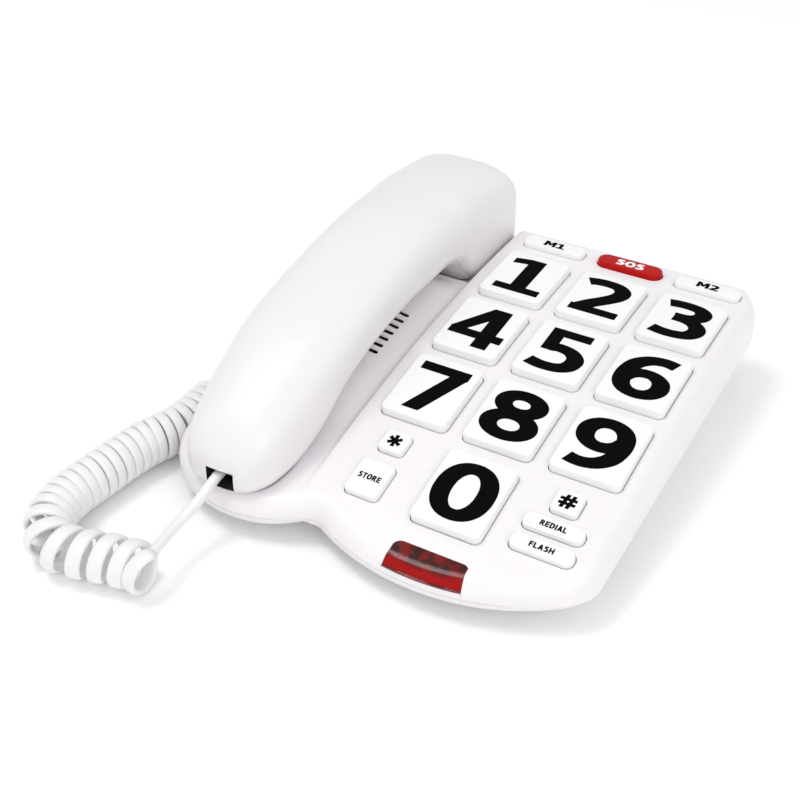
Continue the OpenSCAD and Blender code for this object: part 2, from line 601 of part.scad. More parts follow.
base_top_case();
base_bottom_case();
indicator_lens();
led_board();
indicator_leds();
main_pcb();
key_membrane();
key_1();
key_2();
key_3();
key_4();
key_5();
key_6();
key_7();
key_8();
key_9();
key_0();
key_star();
key_hash();
key_m1();
key_sos();
key_m2();
key_store();
key_redial();
key_flash();
ringer_speaker();
hook_plunger();
hook_switch();
base_cord_jack();
line_jack();
ballast_plate();
rubber_feet();
base_screws();
handset_back_shell();
handset_front_shell();
earpiece_receiver();
microphone();
handset_weight();
handset_jack();
handset_screws();
handset_cord_plug();
base_cord_plug();
cord_lead_handset();
curly_cord();
cord_lead_base();
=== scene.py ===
import math
from collections import namedtuple

import bmesh
import bpy
from mathutils import Matrix, Vector
from mathutils.geometry import delaunay_2d_cdt


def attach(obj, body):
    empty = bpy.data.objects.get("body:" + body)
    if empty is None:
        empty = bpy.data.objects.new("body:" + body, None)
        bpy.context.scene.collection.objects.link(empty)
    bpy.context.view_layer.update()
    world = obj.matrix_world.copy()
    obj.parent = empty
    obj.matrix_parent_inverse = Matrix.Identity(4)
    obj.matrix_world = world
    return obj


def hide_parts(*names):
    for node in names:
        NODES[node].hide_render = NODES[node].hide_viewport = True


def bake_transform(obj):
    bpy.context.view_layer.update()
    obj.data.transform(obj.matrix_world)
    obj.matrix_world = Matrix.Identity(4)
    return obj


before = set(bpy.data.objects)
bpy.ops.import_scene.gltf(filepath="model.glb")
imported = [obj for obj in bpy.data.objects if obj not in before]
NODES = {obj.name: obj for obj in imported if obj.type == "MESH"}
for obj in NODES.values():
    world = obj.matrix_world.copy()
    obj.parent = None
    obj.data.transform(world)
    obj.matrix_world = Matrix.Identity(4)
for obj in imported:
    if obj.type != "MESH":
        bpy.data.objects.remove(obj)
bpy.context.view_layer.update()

# ---------------------------------------------------------------- sizes, in mm, as in part.scad
DX, DY = -5.0, -1.5                             # from the phone's own origin to the shared frame
RIGHT_X, LEFT_X = 94.4, -84.4                   # side walls
REAR_Y, REAR_R = 102.5, 13.0                    # rear wall and its corner radius
PANEL_R, PANEL_Y, PANEL_Z = 650.0, 79.0, 42.5   # arc of the key panel: radius, and where it is highest
FRONT = (33.2, -7.5, 95.0)                      # front edge in plan: centre and radius
LOBE = (-46.6, -54.0, 47.8)                     # lobe under the handset's front in plan
CORNER_R, NECK_R, SIDE_R = 16.0, 7.0, 25.0      # front right corner, neck beside the lobe, left of the lobe
CRADLE_X, DROP = -21.0, 3.0                     # the cradle side starts here, this much lower
BAND = 3.0                                      # height of the lower case's visible edge
HANDSET_X = -51.5
PITCH = 36.0                                    # from one key column to the next
KEY_GAP = 0.35


def smooth(a, b, t):
    t = min(1.0, max(0.0, (t - a) / (b - a)))
    return t * t * (3 - 2 * t)


def panel_z(y):
    return PANEL_Z - PANEL_R + math.sqrt(PANEL_R ** 2 - (y - PANEL_Y) ** 2)


def arc_point(v, up=0.0):
    """y and z of the point v mm along the panel's arc from its highest line, towards the front."""
    a = v / PANEL_R
    return PANEL_Y - (PANEL_R + up) * math.sin(a), PANEL_Z - PANEL_R + (PANEL_R + up) * math.cos(a)


def arc_length(y):
    return PANEL_R * math.asin((PANEL_Y - y) / PANEL_R)


def seam_z(y):
    """Height of the seam between the two halves of the base: it rises to the rear."""
    return 12 + (y + 93) * 11.5 / 192


def to_m(p):
    return ((p[0] + DX) / 1000, (p[1] + DY) / 1000, p[2] / 1000)


# ---------------------------------------------------------------- mesh helpers
class Surface:
    """Points and faces of one piece, in the phone's millimetres."""

    def __init__(self):
        self.verts, self.faces = [], []

    def ring(self, points):
        start = len(self.verts)
        self.verts.extend(points)
        return list(range(start, len(self.verts)))

    def strip(self, a, b, flip=False):
        """Quads between two closed rings of the same number of points."""
        for j in range(len(a)):
            k = (j + 1) % len(a)
            self.faces.append((a[j], b[j], b[k], a[k]) if flip else (a[j], a[k], b[k], b[j]))


def mesh_piece(name, verts, faces, mat, body, smooth_shade=True, slot=None):
    me = bpy.data.meshes.new(name)
    me.from_pydata([to_m(v) for v in verts], [], faces)
    me.validate()
    me.update()
    if smooth_shade:
        me.polygons.foreach_set("use_smooth", [True] * len(me.polygons))
    ob = bpy.data.objects.new(name, me)
    bpy.context.scene.collection.objects.link(ob)
    me.materials.append(mat)
    if body:
        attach(ob, body)
    return ob


def loft(rings):
    """Closed solid through rings of the same number of points."""
    n = len(rings[0])
    last = (len(rings) - 1) * n
    faces = []
    for i in range(0, last, n):
        for j in range(n):
            k = (j + 1) % n
            faces.append((i + j, i + k, i + n + k, i + n + j))
    faces.append(tuple(range(n - 1, -1, -1)))
    faces.append(tuple(last + j for j in range(n)))
    return [p for r in rings for p in r], faces


def sharp_by_angle(ob, degrees):
    ob.data.set_sharp_from_angle(angle=math.radians(degrees))


def clean(ob, merge=True):
    """Outward normals, and points that fall together joined."""
    bm = bmesh.new()
    bm.from_mesh(ob.data)
    if merge:
        bmesh.ops.remove_doubles(bm, verts=bm.verts, dist=0.00002)
    bmesh.ops.recalc_face_normals(bm, faces=bm.faces)
    bm.to_mesh(ob.data)
    bm.free()


def poly_has(loop, x, y):
    has, j = False, len(loop) - 1
    for i, (xi, yi) in enumerate(loop):
        xj, yj = loop[j]
        if (yi > y) != (yj > y) and x < (xj - xi) * (y - yi) / (yj - yi) + xi:
            has = not has
        j = i
    return has


def triangulate(loops, lines=(), points=()):
    """Triangles over loops, open lines and loose points, whose sides are all kept: points and faces."""
    coords, edges = [], []
    for paths, closed in ((loops, True), (lines, False)):
        for path in paths:
            start, n = len(coords), len(path)
            coords.extend(path)
            edges.extend((start + i, start + (i + 1) % n) for i in range(n if closed else n - 1))
    coords.extend(points)
    out = delaunay_2d_cdt([Vector(c) for c in coords], edges, [], 0, 1e-5)
    return [(p.x, p.y) for p in out[0]], out[2]


def centroid(points, face):
    return sum(points[i][0] for i in face) / 3, sum(points[i][1] for i in face) / 3


# ---------------------------------------------------------------- materials
def feed(tree, socket, value):
    """Give a socket a value, or link another node's output to it."""
    if isinstance(value, bpy.types.NodeSocket):
        tree.links.new(value, socket)
    else:
        socket.default_value = value


def add_node(tree, kind, **inputs):
    """A new shader node; an input's name is written with _ for a space."""
    node = tree.nodes.new("ShaderNode" + kind)
    for name, value in inputs.items():
        feed(tree, node.inputs[name.replace("_", " ")], value)
    return node


def blend_colours(tree, amount, first, second):
    node = tree.nodes.new("ShaderNodeMixRGB")
    for socket, value in zip(node.inputs, (amount, first, second)):
        feed(tree, socket, value)
    return node.outputs[0]


def plastic(name, colour, rough, bump=0.02, spec=0.5, tint=0.03):
    """Moulded plastic: its colour and roughness drift slowly, and bump sets how strong its grain is."""
    m = bpy.data.materials.new(name)
    m.use_nodes = True
    nt = m.node_tree
    shader = nt.nodes["Principled BSDF"]
    shader.inputs["Specular IOR Level"].default_value = spec
    place = add_node(nt, "TexCoord").outputs["Object"]
    drift = add_node(nt, "TexNoise", Vector=place, Scale=14.0, Detail=3.0).outputs["Fac"]
    darker, lighter = [(*[min(1, c * (1 + t)) for c in colour], 1) for t in (-tint, tint)]
    feed(nt, shader.inputs["Base Color"], blend_colours(nt, drift, darker, lighter))
    gloss = add_node(nt, "MapRange", Value=drift, To_Min=rough * 0.9, To_Max=rough * 1.12)
    feed(nt, shader.inputs["Roughness"], gloss.outputs["Result"])
    if bump:
        grain = add_node(nt, "TexNoise", Vector=place, Scale=900.0, Detail=2.0).outputs["Fac"]
        relief = add_node(nt, "Bump", Height=grain, Strength=bump, Distance=0.0002)
        feed(nt, shader.inputs["Normal"], relief.outputs["Normal"])
    return m


def metal(name, colour, rough):
    m = plastic(name, colour, rough, 0.05)
    m.node_tree.nodes["Principled BSDF"].inputs["Metallic"].default_value = 1.0
    return m


def lens_material():
    """Clear red, made less clear on the bend at the front so that the bend reads brighter: painted light for
    the light the lens carries round its bend. Where it lies flat over the lights it is clearer.

    There soft dark patches are painted into its colour: painted shade for the shaded hollow under the lens,
    with the lights and the dark board in it.
    """
    m = plastic("red_lens", (0.42, 0.001, 0.001), 0.16, 0.0, spec=0.15, tint=0.08)
    nt = m.node_tree
    shader = nt.nodes["Principled BSDF"]
    shader.inputs["IOR"].default_value = 1.45
    # painted light: the bend is made less clear than the flat top, so that it reads brighter
    facing = add_node(nt, "SeparateXYZ", Vector=add_node(nt, "NewGeometry").outputs["Normal"])
    flat = add_node(nt, "MapRange", Value=facing.outputs["Z"], From_Min=0.72, From_Max=0.93).outputs["Result"]
    clear = add_node(nt, "MapRange", Value=flat, To_Min=0.25, To_Max=0.55)
    feed(nt, shader.inputs["Transmission Weight"], clear.outputs["Result"])
    place = add_node(nt, "TexCoord").outputs["Object"]
    # painted shade: dark patches on the flat top stand for the shaded hollow under the lens
    patches = add_node(nt, "TexNoise", Vector=place, Scale=210.0, Detail=1.0).outputs["Fac"]
    dark = add_node(nt, "MapRange", Value=patches, From_Min=0.42, From_Max=0.58, To_Min=0.9, To_Max=0.2)
    amount = add_node(nt, "Math")
    amount.operation = "MULTIPLY"
    feed(nt, amount.inputs[0], dark.outputs["Result"])
    feed(nt, amount.inputs[1], flat)
    red = shader.inputs["Base Color"].links[0].from_socket
    painted_shade_red = (0.03, 0.0002, 0.0002, 1)
    feed(nt, shader.inputs["Base Color"], blend_colours(nt, amount.outputs[0], red, painted_shade_red))
    return m


WHITE = plastic("white_plastic", (0.80, 0.775, 0.80), 0.32, 0.03)
UNDER = plastic("underside_plastic", (0.78, 0.755, 0.78), 0.45, 0.06)
KEYMAT = plastic("key_plastic", (0.84, 0.84, 0.85), 0.35, 0.02)
REDKEY = plastic("red_plastic", (0.42, 0.003, 0.003), 0.4, 0.02, spec=0.15)
HANDSET = plastic("handset_plastic", (0.765, 0.742, 0.758), 0.32, 0.03)
BLACK = plastic("black_plastic", (0.012, 0.012, 0.013), 0.5, 0.05)
INK = plastic("ink_black", (0.003, 0.003, 0.003), 0.6, 0.0, spec=0.015, tint=0.1)
WHITE_INK = plastic("ink_white", (0.85, 0.85, 0.85), 0.5, 0.0)
CORD = plastic("cord_jacket", (0.80, 0.79, 0.79), 0.35, 0.02)
BOARD = plastic("circuit_board", (0.03, 0.16, 0.06), 0.4, 0.1)
SILICONE = plastic("silicone_rubber", (0.6, 0.6, 0.57), 0.7, 0.1)
FOOT = plastic("rubber_foot", (0.05, 0.05, 0.05), 0.8, 0.3)
PLUG = plastic("clear_plug", (0.75, 0.75, 0.7), 0.15, 0.0)
STEEL = metal("steel", (0.5, 0.5, 0.52), 0.35)
SCREW = metal("screw_steel", (0.6, 0.6, 0.62), 0.25)
LENS = lens_material()
LED = plastic("red_led", (0.8, 0.02, 0.03), 0.15, 0.0)

# ---------------------------------------------------------------- camera, solved from the grid of keys
CAMERA_AT = (201.6, -403.2, 345.0)
YAW, PITCH_DOWN = math.radians(-29.78), math.radians(36.21)

camera_data = bpy.data.cameras.new("camera")
camera_data.lens = 60.1
camera_data.sensor_width = 36.0
camera_data.clip_start, camera_data.clip_end = 0.01, 50
camera = bpy.data.objects.new("camera", camera_data)
bpy.context.scene.collection.objects.link(camera)
forward = Vector((math.sin(YAW) * math.cos(PITCH_DOWN), math.cos(YAW) * math.cos(PITCH_DOWN),
                  -math.sin(PITCH_DOWN)))
right = Vector((math.cos(YAW), -math.sin(YAW), 0))
turn = Matrix((right, right.cross(forward), -forward)).transposed()
camera.matrix_world = Matrix.Translation(to_m(CAMERA_AT)) @ turn.to_4x4()
bpy.context.scene.camera = camera

# ---------------------------------------------------------------- cords
COIL = [(-51.4, -142.6), (-56.2, -142.0), (-62, -142.7), (-70, -144.4), (-78, -146.4), (-86, -148),
        (-93.5, -147.1), (-99.8, -142.2), (-103.6, -135), (-105.3, -126.5), (-105.2, -118), (-104.2, -109.5),
        (-103.2, -101), (-102.2, -92.5), (-100.6, -84), (-97.8, -76), (-95.4, -68), (-94.6, -60),
        (-94.6, -52), (-94.6, -44)]
COIL_Z, COIL_R = 9.95, 9.75     # height of the coil's centre line, and its outer radius
LEAD = [(-51.2, -95, 25.2), (-51.2, -100, 24.9), (-51.6, -106, 22.8), (-52.6, -112, 19.8),
        (-53.6, -120, 17.4), (-53.2, -130, 17.0)]   # from the handset's socket to just before the coil
REAR_LEAD = [(-86, 2, 25.5), (-91, 2, 25.5), (-95.6, 0.4, 24.6), (-98.8, -4.6, 22.3), (-99.6, -12, 19),
             (-98.8, -21, 15.4), (-97, -30, 12.4), (-95.3, -38, 10.6), (-94.6, -44, 10.2)]
CORD_D = 3.8
BAND_W, BAND_H = 4.4, 2.4       # section of the flattened cord in the coil
TURN = 4.75                     # pitch of the closed turns
OPEN_W, OPEN_TURN = 1.7, 3.9    # what the open turns add to the width and the pitch
OPEN_END = (46, 62)             # the turns close up over this stretch of the centre line
TURN_STEPS, CENTRE_STEP = 26, 0.5
FIRST_ANGLE = math.radians(75)


def catmull(points, step):
    """Points every step mm along a smooth curve through the given ones, and the curve's length."""
    pts = [Vector(p) for p in points]
    ext = [2 * pts[0] - pts[1]] + pts + [2 * pts[-1] - pts[-2]]
    fine = []
    for i in range(1, len(ext) - 2):
        p0, p1, p2, p3 = ext[i - 1:i + 3]
        for k in range(24):
            t = k / 24
            fine.append(0.5 * (2 * p1 + (p2 - p0) * t + (2 * p0 - 5 * p1 + 4 * p2 - p3) * t * t
                               + (3 * p1 - p0 - 3 * p2 + p3) * t ** 3))
    fine.append(pts[-1])
    out, run, want = [fine[0]], 0.0, step
    for a, b in zip(fine, fine[1:]):
        d = (b - a).length
        while run + d >= want:
            out.append(a.lerp(b, (want - run) / d))
            want += step
        run += d
    out.append(fine[-1])
    return out, run


def swept(path, widths, height, sides, normals=None):
    """Tube along path. normals point along the section's height; a power below 1 squares the section off."""
    power = 0.75
    rings = []
    for i, p in enumerate(path):
        ahead = (path[min(i + 1, len(path) - 1)] - path[max(i - 1, 0)]).normalized()
        up = normals[i] if normals else Vector((0, 0, 1))
        side = ahead.cross(up).normalized()
        up = side.cross(ahead).normalized()
        ring = []
        for k in range(sides):
            c, s = math.cos(2 * math.pi * k / sides), math.sin(2 * math.pi * k / sides)
            ring.append(p + side * (widths[i] / 2 * math.copysign(abs(c) ** power, c))
                        + up * (height / 2 * math.copysign(abs(s) ** power, s)))
        rings.append(ring)
    return loft(rings)


def helix():
    """The wound cord: its points, which way each faces out of the coil, and the cord's width there."""
    centre, length = catmull([(x, y, COIL_Z) for x, y in COIL], CENTRE_STEP)
    points, outwards, widths = [], [], []
    angle, s = FIRST_ANGLE, 0.0
    up = Vector((0, 0, 1))
    while s < length:
        loose = 1 - smooth(*OPEN_END, s)
        i = min(int(s / CENTRE_STEP), len(centre) - 2)
        p = centre[i].lerp(centre[i + 1], min(s / CENTRE_STEP - i, 1))
        ahead = (centre[min(i + 2, len(centre) - 1)] - centre[max(i - 1, 0)]).normalized()
        out = ahead.cross(up).normalized() * math.cos(angle) + up * math.sin(angle)
        points.append(p + out * (COIL_R - BAND_H / 2))
        outwards.append(out)
        widths.append(BAND_W + OPEN_W * loose)
        angle += 2 * math.pi / TURN_STEPS
        s += (TURN + OPEN_TURN * loose) / TURN_STEPS
    return points, outwards, widths


def plain_cord(name, points, body, node):
    verts, faces = swept(points, [CORD_D] * len(points), CORD_D, 16)
    ob = mesh_piece(name, verts, faces, CORD, body, slot="cord_jacket")
    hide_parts(node)
    return ob


coil_pts, coil_outwards, coil_widths = helix()
coil = mesh_piece("cord_coil", *swept(coil_pts, coil_widths, BAND_H, 14, coil_outwards), CORD, "base",
                  slot="cord_jacket")
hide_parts("curly_cord")
lead_pts, lead_len = catmull(LEAD + [tuple(coil_pts[0] + Vector((0, 0.6, -0.2)))], 1.5)
lead = plain_cord("cord_lead", lead_pts, None, "cord_lead_handset")
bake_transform(lead)
rear_pts, rear_len = catmull(REAR_LEAD, 1.5)
rear_lead = plain_cord("cord_lead_rear", rear_pts, "base", "cord_lead_base")

# ---------------------------------------------------------------- handset
# y, crown, underside, half width, height of the domed part, radius of the lower corners, seam above underside
STATIONS = [
    (-101, 29, 20.8, 6, 5, 3, 0.5), (-99.5, 34, 20, 12, 11, 6, 1.3), (-95, 40, 19, 17, 16, 10, 2.5),
    (-88, 45.5, 19, 20.5, 20, 15, 3), (-76, 52, 21.4, 23, 22, 17, 3.5), (-62, 58, 28, 24.5, 22, 15, 3.5),
    (-48, 63, 38, 25, 22, 12, 3.5), (-28, 68.5, 45, 25, 22, 9, 3.5), (0, 74, 49, 25, 22, 9, 3.5),
    (25, 77, 50, 25.5, 22, 9, 3.5), (43, 77.5, 49.5, 26, 22, 9, 3.5), (52, 77.5, 42, 26.5, 22, 14, 3.5),
    (57, 77.5, 35, 27, 22, 9, 3.5), (64, 77.2, 34, 27, 22, 4.5, 3.5), (80, 75.5, 34, 27, 22, 3, 3.5),
    (95, 73, 34, 26.8, 19, 3, 3.5), (102, 70.6, 34.5, 26, 16, 3, 3.5), (105.5, 67, 36, 23, 11, 2, 3)]
DOME_POWER = 0.74       # below 1 makes the crown fuller than an ellipse
END_Y, END_R = 103.6, 1.85
SEAM_GAP = 0.15
MOUTH_X, MOUTH_TOP, MOUTH_FLOOR = (-55.5, -43.5), 28.9, 20.7    # opening for the cord's plug
POCKET_X, POCKET_TOP, POCKET_Y = (-56.7, -42.7), 29.5, (-94.5, -82.0)
MOUTH_BACK, SHELL_SPLIT = -94.0, 21.0
EAR_Y = 79


def station_slope(i, c):
    a, b = max(i - 1, 0), min(i + 1, len(STATIONS) - 1)
    return (STATIONS[b][c] - STATIONS[a][c]) / (STATIONS[b][0] - STATIONS[a][0])


def station_at(y):
    """The values of STATIONS after y, by a smooth curve through the given ones."""
    i = 0
    while i < len(STATIONS) - 2 and y >= STATIONS[i + 1][0]:
        i += 1
    d = STATIONS[i + 1][0] - STATIONS[i][0]
    t = (y - STATIONS[i][0]) / d
    out = []
    for c in range(1, 7):
        ma, mb = station_slope(i, c) * d, station_slope(i + 1, c) * d
        out.append((2 * t ** 3 - 3 * t * t + 1) * STATIONS[i][c] + (t ** 3 - 2 * t * t + t) * ma
                   + (3 * t * t - 2 * t ** 3) * STATIONS[i + 1][c] + (t ** 3 - t * t) * mb)
    return out


class Section:
    """Cross-section of the handset at y."""

    def __init__(self, y):
        self.top, self.low, self.half, dome, corner, seam = station_at(y)
        self.seam = self.low + seam
        self.dome = min(dome, 0.72 * (self.top - self.low))
        room = self.top - self.low - self.dome - 0.3
        self.corner = max(0.6, min(corner, 0.75 * self.half, room))

    def half_at(self, z):
        up = self.low + self.corner - z
        if up > 0:
            return self.half - self.corner + math.sqrt(max(0.0, self.corner ** 2 - up ** 2))
        return self.half

    def upper(self, steps=22):
        """x and z over the back shell, from seam to seam."""
        side = self.top - self.dome
        zs = [self.seam + (side - self.seam) * k / 5 for k in range(5)]
        pts = [(self.half_at(z), z) for z in zs]
        for k in range(steps + 1):
            a = math.pi / 2 * k / steps
            pts.append((self.half * max(0.0, math.cos(a)) ** DOME_POWER,
                        side + self.dome * math.sin(a) ** DOME_POWER))
        return pts + [(-x, z) for x, z in pts[-2::-1]]

    def lower(self, steps=8):
        """x and z under the front shell, from seam to seam."""
        seam = self.seam - SEAM_GAP
        first = math.asin(max(0.0, min(self.corner, self.low + self.corner - seam)) / self.corner)
        pts = [(self.half_at(seam), seam)]
        for k in range(1, steps + 1):
            a = first + (math.pi / 2 - first) * k / steps
            pts.append((self.half - self.corner + self.corner * math.cos(a),
                        self.low + self.corner - self.corner * math.sin(a)))
        flat = pts[-1][0]
        pts += [(flat * k / 4, self.low) for k in (3, 2, 1, 0)]
        return pts + [(-x, z) for x, z in pts[-2::-1]]


def shell_rings(arc):
    ys = [-101 + 4 * (k / 8) ** 1.6 for k in range(8)]
    y = -97.0
    while y < 103.5:
        ys.append(y)
        y += 1.6 if (y < -80 or 40 < y < 66) else 2.5
    rings = [[(HANDSET_X + x, y, z) for x, z in arc(Section(y))] for y in ys]
    end = arc(Section(END_Y))
    seam = end[0][1]
    for k in range(7):
        a = math.pi / 2 * k / 6
        size = 0.80 + 0.20 * math.cos(a)
        rings.append([(HANDSET_X + x * size, END_Y + END_R * math.sin(a), seam + (z - seam) * size)
                      for x, z in end])
    return rings


def shell(name, arc, upper, node):
    rings = shell_rings(arc)
    n = len(rings[0])
    last = (len(rings) - 1) * n
    faces = []
    for i in range(0, last, n):
        for j in range(i, i + n - 1):
            faces.append((j, j + 1, j + 1 + n, j + n) if upper else (j, j + n, j + 1 + n, j + 1))
    # the seam face and the two ends
    for a in range(0, last, n):
        b = a + n - 1
        faces.append((a, a + n, b + n, b) if upper else (a, b, b + n, a + n))
    front, rear = tuple(range(n)), tuple(last + j for j in range(n))
    faces += [front[::-1], rear] if upper else [front, rear[::-1]]
    ob = mesh_piece(name, [p for r in rings for p in r], faces, HANDSET, "handset", slot="white_plastic")
    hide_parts(node)
    return ob


def cut(ob, verts, faces):
    """Cut the solid given by verts and faces out of ob."""
    me = bpy.data.meshes.new("cutter")
    me.from_pydata([to_m(p) for p in verts], [], faces)
    me.update()
    cutter = bpy.data.objects.new("cutter", me)
    bpy.context.scene.collection.objects.link(cutter)
    mod = ob.modifiers.new("cut", "BOOLEAN")
    mod.operation = "DIFFERENCE"
    mod.solver = "EXACT"
    mod.object = cutter
    old = ob.data
    ob.data = bpy.data.meshes.new_from_object(ob.evaluated_get(bpy.context.evaluated_depsgraph_get()))
    ob.modifiers.clear()
    bpy.data.meshes.remove(old)
    bpy.data.objects.remove(cutter)
    bpy.data.meshes.remove(me)


def box(xs, ys, zs):
    corners = ((xs[0], ys[0]), (xs[1], ys[0]), (xs[1], ys[1]), (xs[0], ys[1]))
    verts = [(x, y, z) for z in zs for x, y in corners]
    return verts, [(0, 3, 2, 1), (4, 5, 6, 7), (0, 1, 5, 4), (1, 2, 6, 5), (2, 3, 7, 6), (3, 0, 4, 7)]


def circle(cx, cy, r, n):
    angles = [2 * math.pi * k / n for k in range(n)]
    return [(cx + r * math.cos(a), cy + r * math.sin(a)) for a in angles]


def drill(x, y, z0, z1, r, n=20):
    return loft([[(a, b, z) for a, b in circle(x, y, r, n)] for z in (z0, z1)])


def joined(parts):
    verts, faces = [], []
    for part_verts, part_faces in parts:
        faces += [tuple(i + len(verts) for i in face) for face in part_faces]
        verts += part_verts
    return verts, faces


def blacken_pocket(ob):
    """Painted shade: the walls and floor of the plug's pocket, shell plastic lying in shade, get the black
    material; the shell's own outside keeps its colour.
    """
    near = 0.03
    # painted shade: the black material stands for the shade inside the pocket
    ob.data.materials.append(BLACK)
    for poly in ob.data.polygons:
        x, y, z = poly.center[0] * 1000 - DX, poly.center[1] * 1000 - DY, poly.center[2] * 1000
        square = sum(abs(c) for c in poly.normal) < 1.01
        off = (x - MOUTH_X[0], x - MOUTH_X[1], z - MOUTH_TOP, z - MOUTH_FLOOR)
        mouth = min(abs(d) for d in off) < near
        within = POCKET_X[0] - 0.1 < x < POCKET_X[1] + 0.1 and MOUTH_FLOOR - 0.1 < z < POCKET_TOP + 0.1
        if square and within and y < POCKET_Y[1] + 0.1 and (mouth or y > POCKET_Y[0] - 0.1):
            poly.material_index = len(ob.data.materials) - 1


back_shell = shell("handset_back", Section.upper, True, "handset_back_shell")
cut(back_shell, *box(MOUTH_X, (-106, MOUTH_BACK), (SHELL_SPLIT, MOUTH_TOP)))
cut(back_shell, *box(POCKET_X, POCKET_Y, (SHELL_SPLIT, POCKET_TOP)))
front_shell = shell("handset_front", Section.lower, False, "handset_front_shell")
cut(front_shell, *box(MOUTH_X, (-106, -83.0), (MOUTH_FLOOR, MOUTH_TOP)))
blacken_pocket(back_shell)
blacken_pocket(front_shell)

holes = [drill(HANDSET_X, EAR_Y, 30, 36.2, 1.3)]
for k in range(6):
    a = math.pi / 3 * k
    holes.append(drill(HANDSET_X + 8 * math.cos(a), EAR_Y + 8 * math.sin(a), 30, 36.2, 1.3))
holes += [drill(HANDSET_X + 4 * k, -77, 15, 23.6, 0.9, 14) for k in (-1, 0, 1)]
for dx, y, top in ((-19, 95, 35.2), (19, 95, 35.2), (0, -36, 44.6)):
    holes.append(drill(HANDSET_X + dx, y, 28, top, 2.8))
cut(front_shell, *joined(holes))
sharp_by_angle(back_shell, 40)
sharp_by_angle(front_shell, 40)

# ---------------------------------------------------------------- base: outline
LENS_X, LENS_Y, LENS_UP = (21.0, 52.7), -91.5, 2.7      # lens: sides, rear edge, its foot above the seam
WELL_X, WELL_Y, WELL_Z = (-79.6, -23.4), 50.6, 33.5     # seat of the earpiece, open to the rear
LINE_X, LINE_HALF, LINE_Z = 18.0, 5.3, (26.1, 33.9)     # line socket in the rear wall
CORD_Y, CORD_Z = (-2.35, 6.35), (21.6, 29.4)            # cord socket in the left wall


def neck_centre():
    """Centre of the hollow arc that touches both the front arc and the lobe."""
    ux, uy = LOBE[0] - FRONT[0], LOBE[1] - FRONT[1]
    d = math.hypot(ux, uy)
    ux, uy = ux / d, uy / d
    along = ((FRONT[2] + NECK_R) ** 2 - (LOBE[2] + NECK_R) ** 2 + d * d) / (2 * d)
    off = math.sqrt((FRONT[2] + NECK_R) ** 2 - along * along)
    return FRONT[0] + along * ux - off * uy, FRONT[1] + along * uy + off * ux


CORNER = (RIGHT_X - CORNER_R,
          FRONT[1] - math.sqrt((FRONT[2] - CORNER_R) ** 2 - (RIGHT_X - CORNER_R - FRONT[0]) ** 2))
NECK = neck_centre()
SIDE = (LEFT_X + SIDE_R, LOBE[1] - math.sqrt((LOBE[2] - SIDE_R) ** 2 - (LEFT_X + SIDE_R - LOBE[0]) ** 2))


def outline():
    """(x, y, nx, ny) round the plan outline, anticlockwise, starting at the right wall."""
    out = []

    def bearing(p, centre):
        return math.atan2(p[1] - centre[1], p[0] - centre[0])

    def path(points):
        for p, q in zip(points, points[1:]):
            length = math.hypot(q[0] - p[0], q[1] - p[1])
            n = max(1, round(length / 1.6))
            nx, ny = (q[1] - p[1]) / length, -(q[0] - p[0]) / length
            for k in range(n):
                out.append((p[0] + (q[0] - p[0]) * k / n, p[1] + (q[1] - p[1]) * k / n, nx, ny))

    def arc(centre, r, a0, a1, sign=1, step=1.6):
        n = max(1, round(abs(a1 - a0) * r / step))
        for k in range(n):
            c, s = math.cos(a0 + (a1 - a0) * k / n), math.sin(a0 + (a1 - a0) * k / n)
            out.append((centre[0] + r * c, centre[1] + r * s, sign * c, sign * s))

    rear = REAR_Y - REAR_R
    path([(RIGHT_X, CORNER[1]), (RIGHT_X, rear)])
    arc((RIGHT_X - REAR_R, rear), REAR_R, 0, math.pi / 2, step=1.2)
    path([(x, REAR_Y) for x in (RIGHT_X - REAR_R, LINE_X + LINE_HALF, LINE_X - LINE_HALF, WELL_X[1] + 0.3,
                                WELL_X[1], LEFT_X + REAR_R)])
    centre = (LEFT_X + REAR_R, rear)
    well = math.acos((WELL_X[0] - centre[0]) / REAR_R)
    for a0, a1 in ((math.pi / 2, well), (well, well + 0.03), (well + 0.03, math.pi)):
        arc(centre, REAR_R, a0, a1, step=1.2)
    path([(LEFT_X, y) for y in (rear, CORD_Y[1], CORD_Y[0], SIDE[1])])
    arc(SIDE, SIDE_R, -math.pi, bearing(SIDE, LOBE))
    arc(LOBE, LOBE[2], bearing(SIDE, LOBE), bearing(NECK, LOBE))
    arc(NECK, NECK_R, bearing(LOBE, NECK), bearing(FRONT, NECK), -1, 0.8)
    lens_left = -math.pi / 2 - math.asin((FRONT[0] - LENS_X[0]) / FRONT[2])
    lens_right = -math.pi / 2 + math.asin((LENS_X[1] - FRONT[0]) / FRONT[2])
    stops = (bearing(NECK, FRONT), lens_left, lens_right, bearing(CORNER, FRONT))
    for a0, a1 in zip(stops, stops[1:]):
        arc(FRONT, FRONT[2], a0, a1)
    arc(CORNER, CORNER_R, stops[-1], 0, step=1.0)
    return out


OUT = outline()


def midpoint(j):
    """Halfway between outline point j and the next."""
    p, q = OUT[j], OUT[(j + 1) % len(OUT)]
    return (p[0] + q[0]) / 2, (p[1] + q[1]) / 2


def in_lens(j):
    x, y = midpoint(j)
    return LENS_X[0] < x < LENS_X[1] and y < -80


def socket_at(j):
    """Lower and upper edge of the socket cut in the wall after outline point j, or None."""
    x, y = midpoint(j)
    if y > REAR_Y - 0.1 and LINE_X - LINE_HALF < x < LINE_X + LINE_HALF:
        return LINE_Z
    if x < LEFT_X + 0.1 and CORD_Y[0] < y < CORD_Y[1]:
        return CORD_Z
    return None


